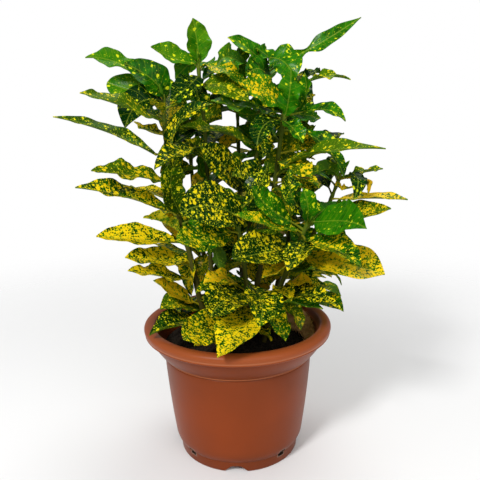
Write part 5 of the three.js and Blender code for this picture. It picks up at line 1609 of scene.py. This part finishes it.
def gold_marks(nodes, place, gold, patch, blotch):
    """Where a leaf is gold, and the wider lime edge round it: blotches and dust where their
    cells are near, open where the green gaps are."""
    spread = nodes.math("MINIMUM", gold, 0.4) * 1.6 + 0.1
    share = (patch - 0.5) * spread + gold
    ragged = blotch * 0.9 - 0.45
    off_large, large = dabs(nodes, place, BLOTCH_CELLS)
    off_small, small = dabs(nodes, place, DUST_CELLS)
    off_gap, open_green = dabs(nodes, place, GAP_CELLS)
    rare = nodes.math("POWER", large, 3.0)
    big = share * 0.95 + rare * 0.75 - 0.30 + ragged - off_large
    dust = share * 0.75 + small * 0.5 - 0.42 + ragged * 0.6 - off_small
    amount = nodes.math("MAXIMUM", big, dust)
    gap = share * -0.45 + open_green * 0.62 + 0.05 + ragged * 0.6 - off_gap
    filled = nodes.step(gap, 0.05, -0.05)
    return nodes.step(amount, -0.035, 0.05) * filled, nodes.step(amount, -0.26, 0.02) * filled


def green_of_leaf(nodes, settings, light, age, patch, cloud):
    """From deep to light green in clouds, and toward olive where the leaf has aged."""
    green = nodes.ramp(light + patch * 0.5 + cloud * 1.25 - 0.905, (0.0, settings.deep_green),
                       (0.5, settings.mid_green), (1.0, settings.light_green))
    return nodes.mix(nodes.step(age, 0.05, 0.6) * OLIVE_COVER, green, settings.olive)


def yellow_of_leaf(nodes, settings, gold, age, patch):
    """From gold to mustard as the leaf ages, and pale in the dust of a green leaf."""
    yellow = nodes.ramp(age + patch * 0.5 - 0.25, (0.0, settings.gold), (1.0, settings.mustard))
    return nodes.mix(nodes.step(gold, 0.36, 0.1), yellow, settings.dust)


def leaf_material(settings):
    """Green with gold blotches and dust between the veins, paler underneath: partly the
    underside's own colour, partly painted light standing in for light through the leaf.
    """
    material, nodes, shader = new_material("croton_leaf", {
        "Specular IOR Level": 0.015, "Specular Tint": settings.sheen,
        "Coat Weight": 0.08, "Coat Roughness": 0.2})
    across, along, seed = nodes.split(nodes.attribute("leaf_place"))
    light, gold, age = nodes.split(nodes.attribute("leaf_look"))
    top = nodes.attribute("leaf_side", "Fac")
    away = abs(across)
    rank = (along - away * VEIN_SWEEP) * (1 / VEIN_SPACING) + seed * (1 / SEED_SPREAD)
    vein = nodes.step(nodes.math("PINGPONG", rank, 0.5), *VEIN_EDGES)
    rib = nodes.step(away, *RIB_EDGES)
    leaned = along - away * 0.2
    place = nodes.vector(across, leaned, seed)
    blotch = nodes.noise(place, RAGGED_NOISE, 3.0, 0.6)
    patch = nodes.noise(place, PATCH_NOISE, 1.0)
    cloud = nodes.noise(place, CLOUD_NOISE, 4.0, 0.65)
    golden, limy = gold_marks(nodes, (across, leaned, seed), gold, patch, blotch)
    green = green_of_leaf(nodes, settings, light, age, patch, cloud)
    yellow = yellow_of_leaf(nodes, settings, gold, age, patch)
    colour = nodes.mix(limy * LIME_COVER, green, settings.lime)
    colour = nodes.mix(golden, colour, yellow)
    colour = nodes.mix(vein * VEIN_COVER, colour, settings.lime)
    colour = nodes.mix(rib * RIB_COVER, colour, settings.rib)
    # Paler underside: partly its own colour, partly painted light standing in for light shining
    # through the leaf
    under = nodes.mix(UNDERSIDE_GLOW_COVER, colour, settings.underside)
    nodes.join(nodes.mix(top, under, colour), shader.inputs["Base Color"])
    nodes.join(top * -0.22 + 0.68 - blotch * 0.12, shader.inputs["Roughness"])
    relief = nodes.noise(place, RELIEF_NOISE)
    nodes.bump(shader, relief * 0.25 - vein * 0.5, 0.5, 0.0006)
    return material


def stem_material(settings):
    """Brown bark at the foot that turns green toward the top and along the leaf stalks."""
    material, nodes, shader = new_material("croton_stem", {
        "Roughness": 0.6, "Specular IOR Level": 0.15})
    light, gold, _ = nodes.split(nodes.attribute("leaf_look"))
    grain = nodes.noise(nodes.object_place(), 240.0, 4.0, 0.6)
    colour = nodes.ramp(light + grain * 0.4 - 0.2, (0.0, settings.bark),
                        (0.45, settings.young_bark), (0.95, settings.stalk))
    colour = nodes.mix(gold * 0.6, colour, settings.gold)
    nodes.join(colour, shader.inputs["Base Color"])
    nodes.bump(shader, grain, 0.5, 0.0008)
    return material


def off_slot(nodes, x, y, height):
    """How far, in millimetres, a point of the foot is from the middle of its drain slot."""
    turn = nodes.math("ARCTAN2", y, x) * (SLOT_COUNT / math.tau)
    turn = nodes.math("FRACT", turn + (2.5 - SLOT_TURN * SLOT_COUNT / 360))
    aside = abs(turn - 0.5) * (math.tau * FOOT_TOP_RADIUS / SLOT_COUNT)
    return nodes.math("MAXIMUM", aside, abs(height - SLOT_MIDDLE))


def pot_material(settings):
    """Terracotta-coloured plastic in random clouds and specks, with painted shade in its neck
    under the lip, over the top of its body under the rim and toward its foot, painted highlights
    on the rim, the lip's bead and the ledge, whitened plastic round the drain slots and darker
    slot edges."""
    material, nodes, shader = new_material("terracotta_plastic", {"Specular IOR Level": 0.16})
    place = nodes.object_place()
    x, y, z = nodes.split(place)
    height = z * (1 / MM)
    cloud = nodes.noise(place, 9.0, 3.0)
    # Painted shade: the neck darkened where the lip's shadow falls on it
    neck = nodes.band(height, GROOVE_HEIGHT - 6, GROOVE_HEIGHT, LIP_HEIGHT - 4, LIP_HEIGHT + 1)
    # Painted shade: darker toward the foot, where the body curves in under itself near the floor
    foot = nodes.step(height, BODY_BOTTOM_HEIGHT + 8, FOOT_HEIGHT)
    # Painted shadow: a band darkest just below the groove, fading down the body and up the neck,
    # where the rim's shadow falls
    upper = nodes.band(height, GROOVE_HEIGHT - 62, GROOVE_HEIGHT - 6, GROOVE_HEIGHT,
                       LIP_HEIGHT + 1)
    speck = nodes.step(nodes.noise(place, 420.0), 0.62, 0.8)
    shade = (neck * NECK_SHADE + foot * FOOT_SHADE + upper * UNDER_RIM_SHADE
             + nodes.step(cloud, 0.3, 0.7) * CLOUD_SHADE)
    shade = nodes.math("MINIMUM", nodes.math("MINIMUM", shade, 1.0) + speck * SPECK_SHADE, 1.0)
    colour = nodes.mix(shade, settings.colour, settings.dark_colour)
    # Painted highlight: the rim lightened toward its highlight colour
    rim = nodes.step(height, LIP_HEIGHT - 2, LIP_HEIGHT + 3)
    colour = nodes.mix(rim * RIM_HIGHLIGHT_COVER, colour, settings.rim_highlight_colour)
    # Painted highlights: thin bright lines on the ledge above the groove and on the lip's bead
    for middle, reach in ((GROOVE_HEIGHT + 2.2, 1.5), (LIP_HEIGHT + 1.2, 2.2)):
        edge = nodes.step(abs(height - middle), reach, 0.0)
        colour = nodes.mix(edge * EDGE_HIGHLIGHT_COVER, colour, settings.edge_highlight_colour)
    # Whitened plastic round each drain slot, and near-black right at the slots' edges
    off = nodes.noise(place, 300.0) * 3.0 + off_slot(nodes, x, y, height) - SLOT_WIDTH / 2
    colour = nodes.mix(nodes.step(off, 3.4, 1.8) * 0.5, colour, settings.worn_colour)
    colour = nodes.mix(nodes.step(off, 2.0, 1.0) * 0.9, colour, settings.slot_dark_colour)
    nodes.join(colour, shader.inputs["Base Color"])
    nodes.join(cloud * 0.16 + 0.30, shader.inputs["Roughness"])
    nodes.bump(shader, nodes.noise(place, 900.0, 3.0), 0.12, 0.0004)
    return material


def soil_material(settings):
    """Dark crumbly soil."""
    material, nodes, shader = new_material("potting_soil", {
        "Roughness": 0.95, "Specular IOR Level": 0.2})
    grain = nodes.noise(nodes.object_place(), 260.0, 5.0, 0.65)
    colour = nodes.ramp(grain, (0.3, settings.dark_colour), (0.72, settings.colour))
    nodes.join(colour, shader.inputs["Base Color"])
    nodes.bump(shader, grain, 0.8, 0.002)
    return material


def coir_material(settings):
    """Brown fibre, light and dark in turns."""
    material, nodes, shader = new_material("coir_fibre", {
        "Roughness": 0.85, "Specular IOR Level": 0.25})
    place = nodes.object_place()
    grain = nodes.noise(place, 130.0, 4.0, 0.6)
    colour = nodes.ramp(grain, (0.32, settings.dark_colour), (0.68, settings.colour))
    nodes.join(colour, shader.inputs["Base Color"])
    nodes.bump(shader, nodes.noise(place, 800.0, 3.0), 0.6, 0.001)
    return material


# Stage

def build_stage(settings):
    """A round pale floor, three soft lamps, a white sky and the camera of the front view."""
    scene = bpy.context.scene
    scene.view_settings.view_transform = "Standard"
    turns = [i * math.tau / FLOOR_SIDES for i in range(FLOOR_SIDES)]
    rim = [(math.cos(turn) * FLOOR_RADIUS, math.sin(turn) * FLOOR_RADIUS, FLOOR_DROP)
           for turn in turns]
    mesh = bpy.data.meshes.new("floor")
    mesh.from_pydata(rim, [], [tuple(range(FLOOR_SIDES))])
    mesh.materials.append(floor_material(settings))
    floor = shown("floor", mesh)
    lamps = [area_lamp(name, place, size, power * settings.light)
             for name, place, size, power in LAMPS]
    white_sky(scene, settings.sky)
    camera = bpy.data.cameras.new("camera")
    camera.sensor_width = SENSOR_MM
    camera.lens = SENSOR_MM * FOCAL_PIXELS / VIEW_PIXELS
    camera.clip_start = 0.02
    seer = shown("camera", camera)
    seer.location = Vector(EYE) * MM
    tilt = Euler((math.pi / 2 - LOOK_DOWN, 0, 0)).to_matrix()
    seer.rotation_euler = (tilt @ Euler((0, 0, VIEW_ROLL)).to_matrix()).to_euler()
    scene.camera = seer


def white_sky(scene, strength):
    """Soft light from all round, seen by the camera as plain white."""
    sky = scene.world or bpy.data.worlds.new("studio")
    scene.world = sky
    sky.use_nodes = True
    nodes = Nodes(sky.node_tree)
    sky.node_tree.nodes.clear()
    seen = nodes.value("ShaderNodeLightPath", output="Is Camera Ray")
    lit = nodes.value("ShaderNodeBackground", {"Color": (1, 1, 1), "Strength": strength})
    plain = nodes.value("ShaderNodeBackground", {"Color": (1, 1, 1), "Strength": 1.0})
    both = nodes.value("ShaderNodeMixShader", {0: seen, 1: lit, 2: plain})
    nodes.add("ShaderNodeOutputWorld", {0: both})


def floor_material(settings):
    """Pale and plain, and clear toward its rim, where the white room takes over."""
    material, nodes, shader = new_material("pale_floor", {
        "Base Color": settings.floor_colour, "Roughness": 0.9, "Specular IOR Level": 0.0})
    away = nodes.value("ShaderNodeVectorMath", {0: nodes.object_place()}, output="Value",
                       operation="LENGTH")
    both = nodes.value("ShaderNodeMixShader", {0: nodes.step(away, *FLOOR_FADE),
                                               1: shader.outputs[0],
                                               2: nodes.value("ShaderNodeBsdfTransparent")})
    nodes.join(both, material.node_tree.nodes["Material Output"].inputs[0])
    return material


def area_lamp(name, place, size, power):
    """A square lamp that faces the middle of the plant."""
    lamp = bpy.data.lights.new(name, "AREA")
    lamp.size = size
    lamp.energy = power
    holder = shown(name, lamp)
    holder.location = place
    aim = Vector((0, 0, PLANT_MIDDLE)) - holder.location
    holder.rotation_euler = aim.to_track_quat("-Z", "Y").to_euler()
    return holder


# Settings, operators and the panel

def tint(name, description, default):
    """A colour that a user may change."""
    return bpy.props.FloatVectorProperty(name=name, description=description, default=default,
                                         subtype="COLOR", size=3, min=0, max=1)


def amount(name, description, default, **more):
    """A size, a density or a strength that a user may change."""
    return bpy.props.FloatProperty(name=name, description=description, default=default,
                                   min=0, **more)


class CrotonPotSettings(bpy.types.PropertyGroup):
    turn_steps: bpy.props.IntProperty(
        name="Steps round", description="Flat faces round the pot", default=144, min=24)
    colour: tint("Colour", "Main colour of the pot's plastic", (0.232, 0.040, 0.0056))
    # The dark colour is painted shade in the neck, under the rim and toward the foot, and the
    # colour of the random clouds
    dark_colour: tint("Dark colour", "Neck, foot and clouds of the pot", (0.128, 0.026, 0.0050))
    # Painted highlights on the lip's bead and the ledge
    edge_highlight_colour: tint("Edge colour", "Rubbed edges of the lip and ledge", (0.500, 0.170, 0.070))
    # Painted highlight over the rim
    rim_highlight_colour: tint("Rim colour", "Bleached plastic of the rim", (0.360, 0.092, 0.026))
    # Near-black at the drain slots' edges
    slot_dark_colour: tint("Dirt colour", "Soil in the drain slots", (0.016, 0.010, 0.006))
    worn_colour: tint("Worn colour", "Whitened plastic round the slots", (0.330, 0.240, 0.180))


class CrotonSoilSettings(bpy.types.PropertyGroup):
    colour: tint("Colour", "Soil where it is lightest", (0.030, 0.020, 0.012))
    dark_colour: tint("Dark colour", "Soil where it is darkest", (0.006, 0.004, 0.003))
    crumb_size: amount("Crumb size", "Radius of the largest crumbs", 0.0032, unit="LENGTH")
    crumbs: amount("Crumbs", "Crumbs to a square metre", 70000)


class CrotonCoirSettings(bpy.types.PropertyGroup):
    colour: tint("Colour", "Light fibres", (0.960, 0.610, 0.260))
    dark_colour: tint("Dark colour", "Dark fibres", (0.520, 0.280, 0.105))
    fibre_length: amount("Fibre length", "Length of the longest fibres", 0.020, unit="LENGTH")
    fibre_radius: amount("Fibre radius", "Radius of a fibre", 0.0003, unit="LENGTH")
    fibres: amount("Fibres", "Fibres to a square metre", 110000)


class CrotonLeafSettings(bpy.types.PropertyGroup):
    deep_green: tint("Deep green", "Old leaves between their blotches", (0.002, 0.024, 0.002))
    mid_green: tint("Mid green", "Grown leaves", (0.022, 0.165, 0.002))
    light_green: tint("Light green", "Young leaves at the top", (0.110, 0.255, 0.003))
    olive: tint("Olive", "Green of ageing leaves", (0.070, 0.130, 0.002))
    lime: tint("Lime", "Where green turns to gold", (0.340, 0.470, 0.014))
    dust: tint("Dust", "Small dots on green leaves", (0.720, 0.760, 0.014))
    gold: tint("Gold", "Fresh blotches", (0.880, 0.640, 0.006))
    mustard: tint("Mustard", "Aged blotches", (0.660, 0.370, 0.006))
    rib: tint("Midrib", "The rib along a leaf's middle", (0.330, 0.420, 0.030))
    sheen: tint("Sheen", "Tint of the leaf's soft shine", (0.600, 1.000, 0.650))
    # Underside: its own paler colour, and partly painted light standing in for light through the
    # leaf
    underside: tint("Underside", "Cast over the leaf's underside", (0.100, 0.220, 0.012))
    bark: tint("Bark", "Stems near the soil", (0.066, 0.050, 0.010))
    young_bark: tint("Young bark", "Stems half way up", (0.070, 0.098, 0.006))
    stalk: tint("Stalk", "Leaf stalks and the stems' tops", (0.160, 0.260, 0.014))


class CrotonStageSettings(bpy.types.PropertyGroup):
    floor_colour: tint("Floor colour", "Colour of the floor", (0.86, 0.86, 0.86))
    sky: amount("Sky", "Strength of the soft light from all round", 0.42)
    light: amount("Light", "Strength of the studio lamps", 1.0)


class CROTON_OT_pot(bpy.types.Operator):
    """Build the terracotta-coloured pot with its foot arches and drain slots"""
    bl_idname = "croton.pot"
    bl_label = "Pot"

    def execute(self, context):
        build_pot(context.scene.croton_pot)
        return {"FINISHED"}


class CROTON_OT_soil(bpy.types.Operator):
    """Build the potting soil with crumbs over its top"""
    bl_idname = "croton.soil"
    bl_label = "Soil"

    def execute(self, context):
        build_soil(context.scene.croton_soil)
        return {"FINISHED"}


class CROTON_OT_coir(bpy.types.Operator):
    """Build the bank of coir fibre at the back of the pot"""
    bl_idname = "croton.coir"
    bl_label = "Coir"

    def execute(self, context):
        build_coir(context.scene.croton_coir)
        return {"FINISHED"}


class CROTON_OT_leafy_stems(bpy.types.Operator):
    """Build the ten leafy stems"""
    bl_idname = "croton.leafy_stems"
    bl_label = "Leafy stems"

    def execute(self, context):
        build_leafy_stems(context.scene.croton_leaves)
        return {"FINISHED"}


class CROTON_OT_stage(bpy.types.Operator):
    """Build the floor, the lights and the camera"""
    bl_idname = "croton.stage"
    bl_label = "Stage"

    def execute(self, context):
        build_stage(context.scene.croton_stage)
        return {"FINISHED"}


class CROTON_PT_panel(bpy.types.Panel):
    bl_label = "Potted croton"
    bl_idname = "CROTON_PT_panel"
    bl_space_type = "VIEW_3D"
    bl_region_type = "UI"
    bl_category = "Croton"

    def draw(self, context):
        for operator in OPERATORS:
            self.layout.operator(operator.bl_idname)


SETTINGS = {
    "croton_pot": CrotonPotSettings,
    "croton_soil": CrotonSoilSettings,
    "croton_coir": CrotonCoirSettings,
    "croton_leaves": CrotonLeafSettings,
    "croton_stage": CrotonStageSettings,
}
OPERATORS = (CROTON_OT_pot, CROTON_OT_soil, CROTON_OT_coir, CROTON_OT_leafy_stems,
             CROTON_OT_stage)


def register():
    """Makes the settings, the operators and the panel known to Blender."""
    for item in (*SETTINGS.values(), *OPERATORS, CROTON_PT_panel):
        bpy.utils.register_class(item)
    for name, settings in SETTINGS.items():
        setattr(bpy.types.Scene, name, bpy.props.PointerProperty(type=settings))


def unregister():
    """Takes away what register brought."""
    for name in SETTINGS:
        delattr(bpy.types.Scene, name)
    for item in (CROTON_PT_panel, *OPERATORS, *SETTINGS.values()):
        bpy.utils.unregister_class(item)


def main():
    """Builds every piece."""
    register()
    bpy.ops.croton.pot()
    bpy.ops.croton.soil()
    bpy.ops.croton.coir()
    bpy.ops.croton.leafy_stems()
    bpy.ops.croton.stage()


if __name__ == "__main__":
    main()
